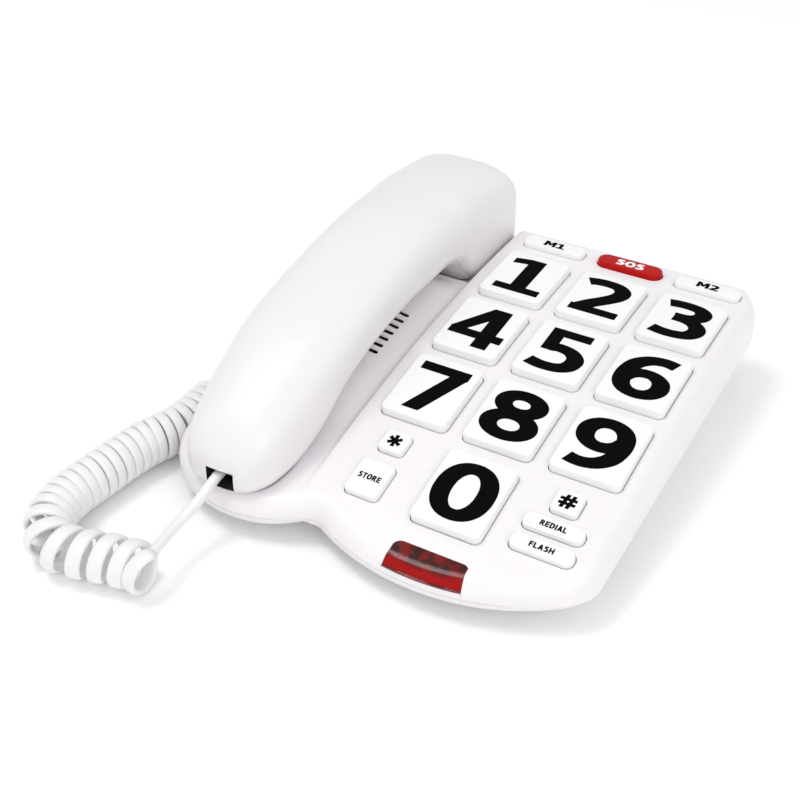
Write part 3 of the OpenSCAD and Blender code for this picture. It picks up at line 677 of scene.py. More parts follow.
# ---------------------------------------------------------------- base: heights and key outlines
Key = namedtuple("Key", "name x v w h r up")    # v is the place along the panel's arc, up the height above it
KEYS = [Key("key_%d" % (3 * row + col + 1), PITCH * col, 20.3 + 41.9 * row, 29, 35, 2.8, 3.0)
        for row in range(3) for col in range(3)]
KEYS.append(Key("key_0", PITCH, 146, 29, 35, 2.8, 3.0))
DIGITS = len(KEYS)
KEYS += [Key(*values, 2.4) for values in (
    ("key_star", 0, 134.3, 11, 10.8, 2.2), ("key_hash", 2 * PITCH, 134.3, 11, 10.8, 2.2),
    ("key_m1", 0, -11.3, 29, 8.5, 3), ("key_sos", PITCH, -12, 30, 9, 4.4),
    ("key_m2", 2 * PITCH, -11.3, 29, 8.5, 3), ("key_store", 0, 153.7, 14.5, 17, 2.2),
    ("key_redial", 2 * PITCH, 146.5, 24, 7, 3), ("key_flash", 2 * PITCH, 156.5, 25, 7, 3))]


def rounded(w, h, r, n=6, inset=0.0):
    """Rounded rectangle round the origin, anticlockwise. inset shrinks it with the same number of points."""
    half_w, half_h, radius = (w - 2 * inset) / 2, (h - 2 * inset) / 2, max(0.4, r - inset)
    pts = []
    for sx, sy, first in ((1, 1, 0), (-1, 1, 90), (-1, -1, 180), (1, -1, 270)):
        for k in range(n + 1):
            a = math.radians(first + 90 * k / n)
            pts.append((sx * (half_w - radius) + radius * math.cos(a),
                        sy * (half_h - radius) + radius * math.sin(a)))
    out = []
    for i, p in enumerate(pts):
        q = pts[(i + 1) % len(pts)]
        length = (h if i // (n + 1) % 2 else w) - 2 * r
        m = max(1, int(length / 2.2)) if (i + 1) % (n + 1) == 0 else 1
        out += [(p[0] + (q[0] - p[0]) * k / m, p[1] + (q[1] - p[1]) * k / m) for k in range(m)]
    return out


def rect_dist(px, py, w, h, r):
    """Distance outside a rounded rectangle round the origin; below 0 inside it."""
    dx, dy = abs(px) - (w / 2 - r), abs(py) - (h / 2 - r)
    return math.hypot(max(dx, 0), max(dy, 0)) + min(max(dx, dy), 0) - r


def key_loop(key, out):
    """A key's outline in plan, with every side moved out."""
    return [(key.x + px, arc_point(key.v - pv)[0])
            for px, pv in rounded(key.w + 2 * out, key.h + 2 * out, key.r + out)]


def in_well(x, y):
    return WELL_X[0] < x < WELL_X[1] and y > WELL_Y


def cradle_drop(x, y):
    return DROP * smooth(-92, -45, y) * smooth(-0.1, 1.6, CRADLE_X - x)


def edge_height(x, y):
    """Top height for the edge rounding: only the open well of the handset's seat counts."""
    if in_well(x, y):
        return WELL_Z
    if x >= CRADLE_X:
        return panel_z(y)
    return panel_z(y) - cradle_drop(x, y)


def handset_low(x, y, room=0.9):
    """Height of the handset's underside, grown by room, over a point of the base; large beside it."""
    beside = 1e3
    if y < -102.2 or y > 106:
        return beside
    s = Section(min(max(y, -100.9), 105.4))
    dx = abs(x - HANDSET_X)
    w, r = s.half + room, s.corner + room
    if dx > w:
        return beside
    if dx <= w - r:
        return s.low
    return s.low + r - math.sqrt(max(0.0, r * r - (dx - (w - r)) ** 2))


def cradle_height(x, y):
    if in_well(x, y):
        return WELL_Z
    u = CRADLE_X - x
    rise = 0.0
    if u > 2:
        slope = 0.48 * (u - 2) - 0.48 * max(0.0, u - 2 - 19)
        rise = 9.0 * (1 - math.exp(-slope / 9.0 * 1.25)) * (1 - smooth(46, 64, u))
    hump = smooth(-70, -34, y) * (1 - smooth(36, 50, y))
    z = panel_z(y) - cradle_drop(x, y) + rise * hump
    if y > 40:
        return z
    under = handset_low(x, y) - 0.45
    return z if under >= z else max(under, panel_z(y) - DROP - 7.0)


def top_height(x, y):
    """The top of the base, with a shallow moat round each large key."""
    if x < CRADLE_X:
        return cradle_height(x, y)
    z = panel_z(y)
    v = arc_length(y)
    for key in KEYS[:DIGITS]:
        if abs(x - key.x) < key.w / 2 + 4 and abs(v - key.v) < key.h / 2 + 4:
            z -= 0.4 * (1 - smooth(0.5, 2.6, rect_dist(x - key.x, v - key.v, key.w, key.h, key.r)))
    return z


FILLET_STEPS = 8


def edge_radius(y, nx):
    """Width and height of the rounding between the top and the wall: both larger along the right wall."""
    r = 3.6 + 1.9 * (1 - smooth(-90, -45, y))
    right = smooth(0.25, 0.95, nx) * smooth(-90, -70, y + 14 * nx)
    return r + (6.2 - r) * right, r + (11.5 - r) * right


def fillet_rings():
    """The rounding between wall and top, as rings of points that follow the outline."""
    rings = []
    for k in range(FILLET_STEPS + 1):
        a = math.pi / 2 * k / FILLET_STEPS
        pts = []
        for x, y, nx, ny in OUT:
            wide, high = edge_radius(y, nx)
            d = wide * (1 - math.cos(a))
            px, py = x - d * nx, y - d * ny
            z = top_height(px, py) if k == FILLET_STEPS else edge_height(px, py)
            pts.append((px, py, max(z - high * (1 - math.sin(a)), seam_z(y) + 0.2 + 0.3 * k)))
        rings.append(pts)
    return rings


FILLET = fillet_rings()


def lens_rear(x):
    """Rear edge of the lens in plan, with rounded corners."""
    r = 3.4
    into = max(LENS_X[0] + 0.6 + r - x, x - (LENS_X[1] - 0.2 - r))
    return LENS_Y if into <= 0 else LENS_Y - r + math.sqrt(max(0.0, r * r - into * into))

# ---------------------------------------------------------------- base: the white top case
SLOT_X, SLOT_LENGTH, SLOT_R = -53.6, 20.9, 1.05
SLOT_YS = [-1 + 4.33 * i for i in range(-3, 4)]
KEY_WALL, SLOT_WALL, LENS_WALL = 3.0, 0.6, 2.2      # how far the openings' walls go down
GRID = 1.25                                         # spacing of the loose points over the top


def slot_loop(y):
    loop = []
    for x, first in ((SLOT_X + SLOT_LENGTH, -90), (SLOT_X, 90)):
        for degrees in range(first, first + 181, 30):
            a = math.radians(degrees)
            loop.append((x + SLOT_R * math.cos(a), y + SLOT_R * math.sin(a)))
    return loop


def crease_loops():
    """Rings round the keys where the surface bends, or just for even triangles."""
    loops = [key_loop(key, out) for key in KEYS[:DIGITS] for out in (1.3, 3.2)]
    loops += [key_loop(key, 0.9) for key in KEYS[DIGITS:]]
    for out in (2.2, 3.8):
        loops += [key_loop(key, out) for key in KEYS[DIGITS:] if key.name in ("key_m1", "key_sos", "key_m2")]
    return loops


def crease_lines():
    """The step at the cradle and the sides of the open well."""
    lines = [[(CRADLE_X + dx, y * 1.6) for y in range(-56, 62)] for dx in (0.0, -0.35, -0.8, -1.4, -2.2)]
    step = 0.12
    for x in (WELL_X[0] - step, WELL_X[0], WELL_X[1], WELL_X[1] + step):
        lines.append([(x, WELL_Y - step)] + [(x, WELL_Y + 1.3 * q) for q in range(48)])
    span = WELL_X[1] - WELL_X[0] + 2 * step
    for y in (WELL_Y - step, WELL_Y):
        lines.append([(WELL_X[0] - step + span * q / 44, y) for q in range(45)])
    return lines


class Opening:
    """A loop cut in the top, with its bounding box for quick tests."""

    def __init__(self, loop, depth):
        self.loop, self.depth = loop, depth
        self.x = min(p[0] for p in loop), max(p[0] for p in loop)
        self.y = min(p[1] for p in loop), max(p[1] for p in loop)

    def near(self, x, y, room=0.0):
        return (self.x[0] - room < x < self.x[1] + room) and (self.y[0] - room < y < self.y[1] + room)


def crossings(loop, y):
    xs = []
    for (xj, yj), (xi, yi) in zip(loop[-1:] + loop[:-1], loop):
        if (yi > y) != (yj > y):
            xs.append((xj - xi) * (y - yi) / (yj - yi) + xi)
    return xs


def fill_points(outer, openings):
    """A staggered grid over the top, kept clear of the rim, the openings and the creases."""
    points = []
    for row in range(164):
        y = -102 + GRID * row
        rim = crossings(outer, y)
        for column in range(151):
            x = -94 + GRID * column + (0.6 if row % 2 else 0.0)
            if sum(q < x for q in rim) % 2 == 0 or min(abs(q - x) for q in rim) < 0.9:
                continue
            near_step = -23.7 < x < -20.2
            near_side = y > WELL_Y - 0.8 and min(abs(x - side) for side in WELL_X) < 0.8
            near_front = abs(y - WELL_Y) < 0.7 and WELL_X[0] - 0.8 < x < WELL_X[1] + 0.8
            near_lens = LENS_X[0] - 0.5 < x < LENS_X[1] + 0.5 and y < LENS_Y + 0.6
            near_hole = any(opening.near(x, y, 0.3) for opening in openings)
            if not (near_step or near_side or near_front or near_lens or near_hole):
                points.append((x, y))
    return points


def on_top(points, down=0.0):
    return [(x, y, top_height(x, y) - down) for x, y in points]


def inward(points, j, depth):
    nx, ny = OUT[j][2:]
    return [(x - depth * nx, y - depth * ny, z) for x, y, z in points]


def add_lens_foot(skin, a, j):
    """The wall under the lens, and a ledge going in from its top."""
    k = (j + 1) % len(OUT)
    edge = [(x, y, z + LENS_UP - 0.2) for x, y, z in (skin.verts[a[j]], skin.verts[a[k]])]
    c, e = skin.ring(edge), skin.ring(inward(edge, j, 2.0))
    skin.faces += [(a[j], a[k], c[1], c[0]), (c[0], c[1], e[1], e[0])]


def add_socket_wall(skin, a, b, j):
    """The wall under and over a socket, with the sides of the opening going in."""
    k = (j + 1) % len(OUT)
    edge = [(x, y, z) for z in socket_at(j) for x, y in (OUT[j][:2], OUT[k][:2])]
    c, e = skin.ring(edge), skin.ring(inward(edge, j, 2.6))
    skin.faces += [(a[j], a[k], c[1], c[0]), (c[2], c[3], b[k], b[j]),
                   (c[0], c[1], e[1], e[0]), (e[2], e[3], c[3], c[2])]
    if socket_at((j - 1) % len(OUT)) is None:
        skin.faces.append((c[0], e[0], e[2], c[2]))
    if socket_at(k) is None:
        skin.faces.append((e[1], c[1], c[3], e[3]))


def add_walls(skin):
    rings = []
    for d in (2.2, 0):
        rings.append(skin.ring([(x - d * nx, y - d * ny, seam_z(y) + 0.15) for x, y, nx, ny in OUT]))
    rings += [skin.ring(points) for points in FILLET]
    for level, (a, b) in enumerate(zip(rings, rings[1:])):
        for j in range(len(OUT)):
            k = (j + 1) % len(OUT)
            if level == 1 and in_lens(j):
                add_lens_foot(skin, a, j)
            elif level == 1 and socket_at(j):
                add_socket_wall(skin, a, b, j)
            elif level == 0 or not in_lens(j):
                skin.faces.append((a[j], a[k], b[k], b[j]))


def add_top(skin):
    """The top: a triangulated sheet inside the rounding, with the openings left out and given walls."""
    inner = FILLET[-1]
    outer = [p[:2] for p in inner]
    hook = [(HANDSET_X + x, 78 + y) for x, y in rounded(9.6, 6.4, 0.6, 3)]
    openings = [Opening(key_loop(key, KEY_GAP), KEY_WALL) for key in KEYS]
    openings += [Opening(loop, SLOT_WALL) for loop in [slot_loop(y) for y in SLOT_YS] + [hook]]
    under_lens = [j for j in range(len(OUT)) if in_lens(j)]
    start, end = outer[under_lens[0]], outer[(under_lens[-1] + 1) % len(OUT)]
    across = [start[0] + (end[0] - start[0]) * (0.5 - 0.5 * math.cos(math.pi * k / 40)) for k in range(41)]
    lens_line = [start] + [(x, lens_rear(x)) for x in across] + [end]
    lens_loop = lens_line + [(end[0], -104), (start[0], -104)]
    lines = [[p for p in line if poly_has(outer, *p)] for line in crease_lines()]
    points, triangles = triangulate([outer] + [opening.loop for opening in openings] + crease_loops(),
                                    lines + [lens_line], fill_points(outer, openings))
    rim = {(round(x, 3), round(y, 3)): z for x, y, z in inner}
    first = skin.ring([(x, y, rim.get((round(x, 3), round(y, 3)), top_height(x, y))) for x, y in points])[0]
    for triangle in triangles:
        x, y = centroid(points, triangle)
        gone = LENS_X[0] - 1 < x < LENS_X[1] + 1 and y < LENS_Y and poly_has(lens_loop, x, y)
        gone = gone or any(opening.near(x, y) and poly_has(opening.loop, x, y) for opening in openings)
        if poly_has(outer, x, y) and not gone:
            skin.faces.append(tuple(first + i for i in triangle))
    for opening in openings:
        upper = skin.ring(on_top(opening.loop))
        skin.strip(skin.ring(on_top(opening.loop, opening.depth)), upper)
    a, b = skin.ring(on_top(lens_line)), skin.ring(on_top(lens_line, LENS_WALL))
    for i in range(len(a) - 1):
        skin.faces.append((a[i], a[i + 1], b[i + 1], b[i]))


top_case = Surface()
add_walls(top_case)
add_top(top_case)
ob = mesh_piece("base_top", top_case.verts, top_case.faces, WHITE, "base", slot="white_plastic")
clean(ob)
sharp_by_angle(ob, 38)
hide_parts("base_top_case")


# ---------------------------------------------------------------- keys
def key_point(key, px, pv, h):
    """The place px, pv from the key's middle, h above the panel, square to it."""
    a = key.v / PANEL_R
    cy, cz = arc_point(key.v)
    return key.x + px, cy + pv * math.cos(a) - h * math.sin(a), cz + pv * math.sin(a) + h * math.cos(a)


def key_rings(key):
    """From inside the case up over the rounded edge: height and inset of each ring."""
    profile = ((-3.4, 0.0), (0.0, 0.0), (key.up - 0.6, 0.2), (key.up - 0.3, 0.28), (key.up - 0.12, 0.4),
               (key.up - 0.03, 0.58), (key.up, 0.85))
    return [[key_point(key, px, pv, h) for px, pv in rounded(key.w, key.h, key.r, inset=inset)]
            for h, inset in profile]


for key in KEYS:
    red = key.name == "key_sos"
    ob = mesh_piece(key.name + "_cap", *loft(key_rings(key)), REDKEY if red else KEYMAT, key.name,
                    slot="red_plastic" if red else "key_plastic")
    sharp_by_angle(ob, 35)
    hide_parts(key.name)

# ---------------------------------------------------------------- lettering: glyphs of blocks and pen strokes
PEN = (0.124, 0.098)    # half width of the pen across and along the line, for letters 1 unit high
STEM = 0.22


def bar(x0, y0, x1, y1):
    return [(x0, y0), (x1, y0), (x1, y1), (x0, y1)]


def oval(cx, cy, rx, ry, power=0.9, n=48):
    out = []
    for k in range(n):
        c, s = math.cos(2 * math.pi * k / n), math.sin(2 * math.pi * k / n)
        out.append((cx + rx * math.copysign(abs(c) ** power, c),
                    cy + ry * math.copysign(abs(s) ** power, s)))
    return out


def petal(degrees):
    """One of the three bars of the star."""
    c, s = math.cos(math.radians(degrees)), math.sin(math.radians(degrees))
    return [(0.46 + a * c - b * s, 0.5 + a * s + b * c)
            for a, b in ((-0.5, -0.115), (0, -0.075), (0.5, -0.115), (0.5, 0.115), (0, 0.075), (-0.5, 0.115))]


BOWL_6 = [(0.715, 0.893), (0.60, 0.918), (0.48, 0.915), (0.34, 0.865), (0.21, 0.74), (0.15, 0.57),
          (0.135, 0.40), (0.165, 0.24), (0.26, 0.125), (0.41, 0.084), (0.56, 0.122), (0.65, 0.22),
          (0.672, 0.335), (0.635, 0.46), (0.53, 0.545), (0.41, 0.565), (0.29, 0.535), (0.20, 0.47),
          (0.15, 0.38)]
# each character: width, solid blocks, open pen strokes, closed pen strokes
GLYPHS = {
    "0": (0.81, [], [], [oval(0.405, 0.5, 0.285, 0.414)]),
    "1": (0.76, [bar(0.06, 0, 0.76, 0.165), bar(0.29, 0, 0.53, 1),
                 [(0.06, 0.79), (0.30, 0.84), (0.30, 1), (0.06, 0.945)]], [], []),
    "2": (0.76, [bar(0.04, 0, 0.75, 0.175)],
          [[(0.06, 0.86), (0.18, 0.90), (0.33, 0.915), (0.49, 0.89), (0.585, 0.81), (0.605, 0.71),
            (0.565, 0.59), (0.45, 0.44), (0.32, 0.30), (0.23, 0.185), (0.16, 0.085)]], []),
    "3": (0.79, [], [[(0.09, 0.885), (0.22, 0.91), (0.36, 0.915), (0.52, 0.885), (0.60, 0.81), (0.605, 0.71),
                      (0.54, 0.62), (0.41, 0.575), (0.25, 0.565)],
                     [(0.25, 0.54), (0.41, 0.53), (0.56, 0.475), (0.645, 0.37), (0.645, 0.25), (0.565, 0.14),
                      (0.41, 0.09), (0.23, 0.086), (0.06, 0.12)]], []),
    "4": (0.84, [bar(0.03, 0.205, 0.83, 0.38), bar(0.47, 0, 0.70, 1),
                 [(0.03, 0.36), (0.25, 0.36), (0.60, 0.86), (0.60, 1), (0.43, 1)]], [], []),
    "5": (0.78, [bar(0.11, 0.825, 0.70, 1), bar(0.11, 0.45, 0.31, 1)],
          [[(0.20, 0.535), (0.29, 0.556), (0.40, 0.56), (0.54, 0.52), (0.635, 0.42), (0.65, 0.31),
            (0.60, 0.18), (0.47, 0.105), (0.30, 0.086), (0.18, 0.10), (0.06, 0.13)]], []),
    "6": (0.80, [], [BOWL_6], []),
    "7": (0.78, [bar(0.05, 0.825, 0.76, 1),
                 [(0.16, 0), (0.41, 0), (0.76, 0.86), (0.76, 0.95), (0.52, 0.95), (0.50, 0.84)]], [], []),
    "8": (0.80, [], [], [oval(0.40, 0.735, 0.245, 0.18, 0.97), oval(0.40, 0.292, 0.275, 0.207, 0.97)]),
    "9": (0.80, [], [[(0.80 - x, 1 - y) for x, y in BOWL_6]], []),
    "M": (0.98, [bar(0, 0, STEM, 1), bar(0.76, 0, 0.98, 1),
                 [(0.05, 1), (0.28, 1), (0.49, 0.52), (0.70, 1), (0.93, 1), (0.57, 0.24), (0.41, 0.24)]],
          [], []),
    "S": (0.70, [], [[(0.62, 0.88), (0.44, 0.915), (0.27, 0.90), (0.155, 0.80), (0.165, 0.68), (0.28, 0.59),
                      (0.44, 0.52), (0.565, 0.42), (0.585, 0.26), (0.50, 0.13), (0.34, 0.086), (0.18, 0.095),
                      (0.05, 0.135)]], []),
    "O": (0.86, [], [], [oval(0.43, 0.5, 0.32, 0.414)]),
    "T": (0.74, [bar(0, 0.82, 0.74, 1), bar(0.26, 0, 0.48, 1)], [], []),
    "R": (0.78, [bar(0, 0, STEM, 1), [(0.26, 0.50), (0.48, 0.52), (0.78, 0), (0.52, 0)]],
          [[(0.12, 0.914), (0.30, 0.914), (0.46, 0.88), (0.535, 0.77), (0.53, 0.64), (0.45, 0.53),
            (0.30, 0.49), (0.12, 0.49)]], []),
    "E": (0.64, [bar(0, 0, STEM, 1), bar(0.1, 0.82, 0.63, 1), bar(0.1, 0.42, 0.60, 0.59),
                 bar(0.1, 0, 0.64, 0.18)], [], []),
    "D": (0.80, [bar(0, 0, STEM, 1)],
          [[(0.12, 0.914), (0.30, 0.91), (0.48, 0.86), (0.62, 0.74), (0.675, 0.5), (0.62, 0.26),
            (0.48, 0.14), (0.30, 0.09), (0.12, 0.086)]], []),
    "I": (0.22, [bar(0, 0, STEM, 1)], [], []),
    "A": (0.84, [[(0, 0), (0.235, 0), (0.535, 1), (0.30, 1)], [(0.84, 0), (0.605, 0), (0.305, 1), (0.54, 1)],
                 bar(0.17, 0.19, 0.67, 0.36)], [], []),
    "L": (0.62, [bar(0, 0, STEM, 1), bar(0.1, 0, 0.62, 0.18)], [], []),
    "F": (0.62, [bar(0, 0, STEM, 1), bar(0.1, 0.82, 0.62, 1), bar(0.1, 0.42, 0.58, 0.59)], [], []),
    "H": (0.80, [bar(0, 0, STEM, 1), bar(0.58, 0, 0.80, 1), bar(0.1, 0.42, 0.70, 0.60)], [], []),
    "#": (0.96, [bar(0, 0.60, 0.96, 0.76), bar(0, 0.25, 0.96, 0.41),
                 [(0.14, 0), (0.31, 0), (0.47, 1), (0.30, 1)], [(0.50, 0), (0.67, 0), (0.83, 1), (0.66, 1)]],
          [], []),
    "*": (0.92, [petal(degrees) for degrees in (90, 30, 150)], [], []),
}
# each key: text, height in mm, stretch across, gap between letters, how far the strokes are fattened
LABELS = {"key_%d" % digit: (str(digit), 26.8, 1.12, 0.0, 0.0) for digit in range(10)}
LABELS.update({
    "key_star": ("*", 5.6, 1.0, 0, 0.03), "key_hash": ("#", 6.0, 1.08, 0, 0.03),
    "key_m1": ("M1", 4.3, 1.2, 0.1, 0.03), "key_m2": ("M2", 4.3, 1.2, 0.1, 0.03),
    "key_sos": ("SOS", 4.4, 1.12, 0.13, 0.03), "key_store": ("STORE", 2.45, 0.88, 0.15, 0.03),
    "key_redial": ("REDIAL", 2.35, 0.93, 0.16, 0.03), "key_flash": ("FLASH", 2.3, 0.97, 0.17, 0.03)})
INK_HALF = 0.05     # the printing stands this far over and under the key's top


def grown(loop, g):
    """The polygon with every side moved out by g."""
    area2 = sum(p[0] * q[1] - q[0] * p[1] for p, q in zip(loop, loop[1:] + loop[:1]))
    loop = loop if area2 > 0 else loop[::-1]
    out = []
    for i, p in enumerate(loop):
        before, after = loop[i - 1], loop[(i + 1) % len(loop)]
        u = (p[0] - before[0], p[1] - before[1])
        w = (after[0] - p[0], after[1] - p[1])
        lu, lw = math.hypot(*u), math.hypot(*w)
        n1, n2 = (u[1] / lu, -u[0] / lu), (w[1] / lw, -w[0] / lw)
        k = g / max(0.35, 1 + n1[0] * n2[0] + n1[1] * n2[1])
        out.append((p[0] + k * (n1[0] + n2[0]), p[1] + k * (n1[1] + n2[1])))
    return out


def pen_edges(points, closed, g):
    """Left and right edges of a broad pen stroke through the points."""
    m = len(points)
    across, along = PEN[0] + g, PEN[1] + g
    left, other = [], []
    for i, (x, y) in enumerate(points):
        if closed:
            p, q = points[i - 1], points[(i + 1) % m]
        else:
            p, q = points[max(i - 1, 0)], points[min(i + 1, m - 1)]
        tx, ty = q[0] - p[0], q[1] - p[1]
        length = math.hypot(tx, ty)
        nx, ny = -ty / length, tx / length
        w = math.hypot(across * nx, along * ny)
        dx, dy = across ** 2 * nx / w, along ** 2 * ny / w
        left.append((x + dx, y + dy))
        other.append((x - dx, y - dy))
    return left, other


def evened(stroke):
    """Close points along an open stroke, without a tiny last step."""
    points = [(p.x, p.y) for p in catmull([(x, y, 0) for x, y in stroke], 0.022)[0]]
    if math.dist(points[-1], points[-2]) < 0.008:
        points.pop(-2)
    return points


def glyph(char, g):
    """Flat shape of one character, 1 unit high: points, triangles, width."""
    width, blocks, open_strokes, closed_strokes = GLYPHS[char]
    loops = [grown(block, g) if g else block for block in blocks]
    cells = list(loops)
    for stroke in open_strokes:
        left, other = pen_edges(evened(stroke), False, g)
        loops.append(left + other[::-1])
        cells += [[left[i], left[i + 1], other[i + 1], other[i]] for i in range(len(left) - 1)]
    for stroke in closed_strokes:
        left, other = pen_edges(stroke, True, g)
        loops += [left, other]
        cells += [[left[i - 1], left[i], other[i], other[i - 1]] for i in range(len(left))]
    points, triangles = triangulate(loops)
    kept = [t for t in triangles if any(poly_has(cell, *centroid(points, t)) for cell in cells)]
    return points, kept, width


def label(key):
    """The printing on one key, as a thin layer with walls."""
    text, height, stretch, gap, g = LABELS[key.name]
    flat, triangles, x = [], [], 0.0
    for char in text:
        points, faces, width = glyph(char, g)
        triangles += [tuple(len(flat) + i for i in face) for face in faces]
        flat += [(px + x, py) for px, py in points]
        x += width + gap
    x -= gap
    used = sorted({i for t in triangles for i in t})
    index = {i: q for q, i in enumerate(used)}
    m = len(used)
    verts = [key_point(key, (flat[i][0] - x / 2) * height * stretch, (flat[i][1] - 0.5) * height, h)
             for h in (key.up + INK_HALF, key.up - INK_HALF) for i in used]
    faces, sides = [], set()
    for a, b, c in triangles:
        turn_left = ((flat[b][0] - flat[a][0]) * (flat[c][1] - flat[a][1])
                     - (flat[b][1] - flat[a][1]) * (flat[c][0] - flat[a][0]))
        face = tuple(index[i] for i in ((a, b, c) if turn_left >= 0 else (c, b, a)))
        faces += [face, tuple(i + m for i in reversed(face))]
        sides.update((face[i], face[(i + 1) % 3]) for i in range(3))
    faces += [(q, p, p + m, q + m) for p, q in sorted(sides) if (q, p) not in sides]
    ink = WHITE_INK if key.name == "key_sos" else INK
    mesh_piece("print_" + key.name[4:], verts, faces, ink, key.name, False, slot="key_plastic")


for key in KEYS:
    label(key)

# ---------------------------------------------------------------- lens over the call light
LENS_THICK = 1.6


def lens_column(j, push):
    """Points from the foot of the lens over the bend to its rear edge, at outline point j."""
    y = OUT[j][1]
    foot = seam_z(y) + 0.15 + LENS_UP
    col = [(OUT[j][0], y, foot)]
    col += [(a, b, max(c, foot + 0.1 * (k + 1))) for k, (a, b, c) in enumerate(ring[j] for ring in FILLET)]
    px, py = col[-1][:2]
    under_lens = [i for i in range(len(OUT)) if in_lens(i)]
    first, last = FILLET[-1][under_lens[0]][0], FILLET[-1][(under_lens[-1] + 1) % len(OUT)][0]
    rear = max(lens_rear(min(max(px, first + 0.25), last - 0.25)) - 0.15, py + 0.2)
    for k in range(1, 6):
        on_top = py + (rear - py) * k / 5
        col.append((px, on_top, panel_z(on_top)))
    return [(a + push, b, c - 0.02) for a, b, c in col]


def lens_rings():
    under_lens = [j for j in range(len(OUT)) if in_lens(j)]
    ends = under_lens[0], (under_lens[-1] + 1) % len(OUT)
    rings = []
    for j in under_lens + [ends[1]]:
        nx, ny = OUT[j][2:]
        col = lens_column(j, 0.15 if j == ends[0] else (-0.15 if j == ends[1] else 0.0))
        back = []
        for i, (x, y, z) in enumerate(col):
            a, b = col[max(i - 1, 0)], col[min(i + 1, len(col) - 1)]
            run, rise = math.hypot(b[0] - a[0], b[1] - a[1]), b[2] - a[2]
            d = math.hypot(run, rise) or 1.0
            back.append((x - nx * LENS_THICK * rise / d, y - ny * LENS_THICK * rise / d,
                         z - LENS_THICK * run / d))
        back[0] = (*back[0][:2], col[0][2])
        rings.append(col + back[::-1])
    return rings


ob = mesh_piece("call_lens", *loft(lens_rings()), LENS, "base", slot="red_lens")
clean(ob, merge=False)
sharp_by_angle(ob, 40)
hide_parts("indicator_lens")

# ---------------------------------------------------------------- bottom case
FEET = [(64, 74), (-58, 74), (64, -60), (-46, -72)]
BOSSES = [(86, 81), (86, -48), (-77, 60), (-77, -20)]
PAN = (5, 6.5, 150, 163, 12)            # raised middle in plan: centre, width, depth, corner radius
PAN_LOBE_R = 27.0                       # and the disc joined to it under the lobe
PAN_Z, PAN_ROUND = 2.0, 1.4             # its level over the desk, and the rounding of its edge
FOOT_R, FOOT_TOP = 7.2, 2.95            # recess for a foot
BOSS_R = 5.4


def pan_outline(n=300):
    """The rounded rectangle and the disc as one outline, found along rays from the origin."""
    pts = []
    for k in range(n):
        dx, dy = math.cos(2 * math.pi * k / n), math.sin(2 * math.pi * k / n)
        b = -(dx * LOBE[0] + dy * LOBE[1])
        square = b * b - (LOBE[0] ** 2 + LOBE[1] ** 2 - PAN_LOBE_R ** 2)
        disc = -b + math.sqrt(square) if square > 0 else 0.0
        near, far = 0.0, 160.0
        for _ in range(30):
            m = (near + far) / 2
            if rect_dist(m * dx - PAN[0], m * dy - PAN[1], *PAN[2:]) < 0:
                near = m
            else:
                far = m
        pts.append((max(disc, near) * dx, max(disc, near) * dy))
    return pts


def on_ledge(points):
    return [(x, y, seam_z(y) - BAND) for x, y in points]


def add_sheet(case, outer, holes, place):
    """A flat part of the underside; place gives each plan point its height."""
    points, triangles = triangulate([outer] + holes)
    start = case.ring(place(points))[0]
    for triangle in triangles:
        middle = centroid(points, triangle)
        if poly_has(outer, *middle) and not any(poly_has(hole, *middle) for hole in holes):
            case.faces.append(tuple(start + i for i in reversed(triangle)))


def add_rings(case, rings, cap=False):
    rings = [case.ring(ring) for ring in rings]
    for a, b in zip(rings, rings[1:]):
        case.strip(a, b, flip=True)
    if cap:
        case.faces.append(tuple(reversed(rings[-1])))
    return rings[-1]


def level(points, z):
    return [(x, y, z) for x, y in points]


def bottom_case():
    case = Surface()
    profile = ((2.6, -0.2), (0.35, -0.15), (0.0, -0.45), (0.0, 0.9 - BAND), (0.3, 0.3 - BAND), (0.9, -BAND))
    edge = []
    for d, dz in profile:
        ring = []
        for x, y, nx, ny in OUT:
            inset = d + 2.5 * smooth(0.2, 0.85, nx)
            ring.append((x - inset * nx, y - inset * ny, seam_z(y) + dz))
        edge.append(ring)
    add_rings(case, edge)
    pan = pan_outline()
    add_sheet(case, [p[:2] for p in edge[-1]], [pan] + [circle(*b, BOSS_R, 40) for b in BOSSES], on_ledge)
    sides = [on_ledge(pan)]
    for k in range(6):
        a = math.pi / 2 * k / 5
        d = PAN_ROUND * (1 - math.cos(a))
        inner = [(x * (1 - d / math.hypot(x, y)), y * (1 - d / math.hypot(x, y))) for x, y in pan]
        sides.append(level(inner, PAN_Z + PAN_ROUND - PAN_ROUND * math.sin(a)))
    add_rings(case, sides)
    add_sheet(case, inner, [circle(*foot, FOOT_R, 40) for foot in FEET], lambda plan: level(plan, PAN_Z))
    for foot in FEET:
        add_rings(case, [level(circle(*foot, FOOT_R, 40), z) for z in (PAN_Z, FOOT_TOP)], cap=True)
    for x, y in BOSSES:
        z = seam_z(y) - BAND
        steps = ((BOSS_R, z - 1.4), (5.1, z - 1.8), (3.5, z - 1.8), (3.3, z - 1.6), (3.3, z - 0.05))
        rings = [on_ledge(circle(x, y, BOSS_R, 40))] + [level(circle(x, y, r, 40), h) for r, h in steps]
        add_rings(case, rings, cap=True)
    return case.verts, case.faces


ob = mesh_piece("base_underside", *bottom_case(), UNDER, "base", slot="underside_plastic")
clean(ob)
sharp_by_angle(ob, 40)
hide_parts("base_bottom_case")

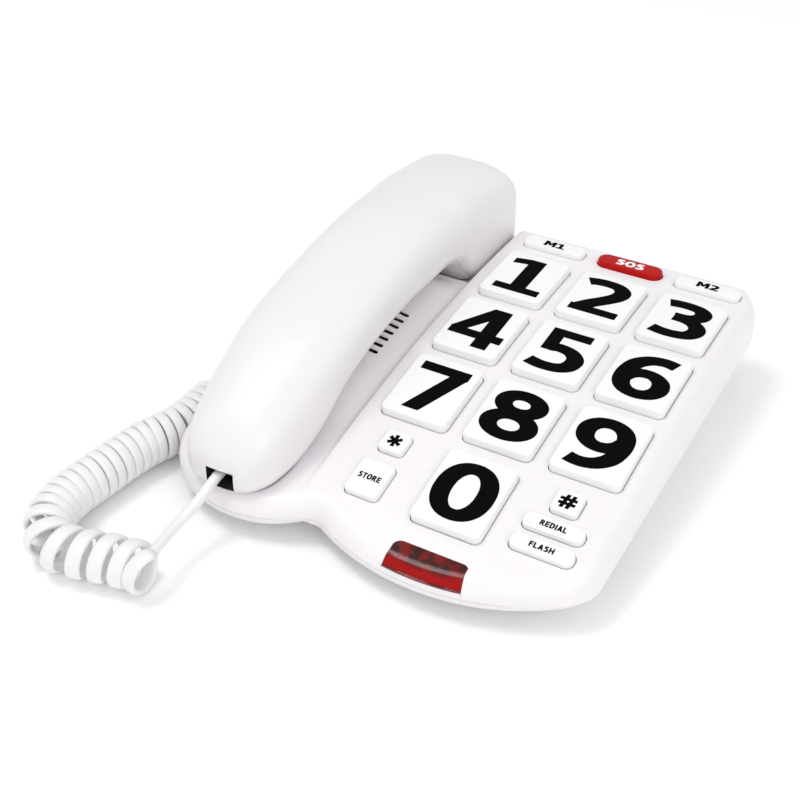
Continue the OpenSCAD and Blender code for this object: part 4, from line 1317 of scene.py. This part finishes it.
# ---------------------------------------------------------------- CAD nodes that stay, with better materials
STAY = ((BOARD, "led_board main_pcb"), (LED, "indicator_leds"), (SILICONE, "key_membrane"),
        (WHITE, "hook_plunger"), (FOOT, "rubber_feet"),
        (BLACK, "ringer_speaker hook_switch base_cord_jack line_jack"),
        (BLACK, "earpiece_receiver microphone handset_jack"),
        (STEEL, "ballast_plate handset_weight"), (SCREW, "base_screws handset_screws"),
        (PLUG, "handset_cord_plug base_cord_plug"))
for mat, names in STAY:
    for name in names.split():
        NODES[name].data.materials.clear()
        NODES[name].data.materials.append(mat)

# ---------------------------------------------------------------- floor and light
bpy.ops.mesh.primitive_plane_add(size=8, location=(0, 0, -0.0002))
floor = bpy.context.active_object
floor.name = "floor"
floor_mat = plastic("floor", (0.96, 0.96, 0.96), 0.8, 0.0, spec=0.1, tint=0.004)
floor_shader = floor_mat.node_tree.nodes["Principled BSDF"]
floor_shader.inputs["Emission Color"].default_value = (1, 1, 1, 1)
floor_shader.inputs["Emission Strength"].default_value = 0.01
floor.data.materials.append(floor_mat)


def studio_world():
    """White all round, brightest from the front right and above."""
    world = bpy.data.worlds.new("world")
    bpy.context.scene.world = world
    world.use_nodes = True
    nt = world.node_tree
    background = nt.nodes["Background"]
    background.inputs["Color"].default_value = (1, 1, 1, 1)
    towards = add_node(nt, "VectorMath")
    towards.operation = "DOT_PRODUCT"
    feed(nt, towards.inputs[0], add_node(nt, "TexCoord").outputs["Generated"])
    feed(nt, towards.inputs[1], Vector((0.50, -0.78, 0.38)).normalized())
    strength = add_node(nt, "MapRange", From_Min=-1.0, To_Min=0.62, To_Max=0.98)
    feed(nt, strength.inputs["Value"], towards.outputs["Value"])
    feed(nt, background.inputs["Strength"], strength.outputs["Result"])


def area_light(name, place, target, size, power):
    data = bpy.data.lights.new(name, "AREA")
    data.size = size
    data.energy = power
    light = bpy.data.objects.new(name, data)
    bpy.context.scene.collection.objects.link(light)
    light.location = place
    light.rotation_euler = (Vector(target) - Vector(place)).to_track_quat("-Z", "Y").to_euler()


studio_world()
area_light("key_light", (-0.40, -0.20, 1.15), (0, -0.02, 0), 0.4, 3.8)
area_light("fill_light", (0.95, -0.75, 0.85), (0, 0, 0.03), 0.7, 3.6)
bpy.context.scene.view_settings.view_transform = "Standard"
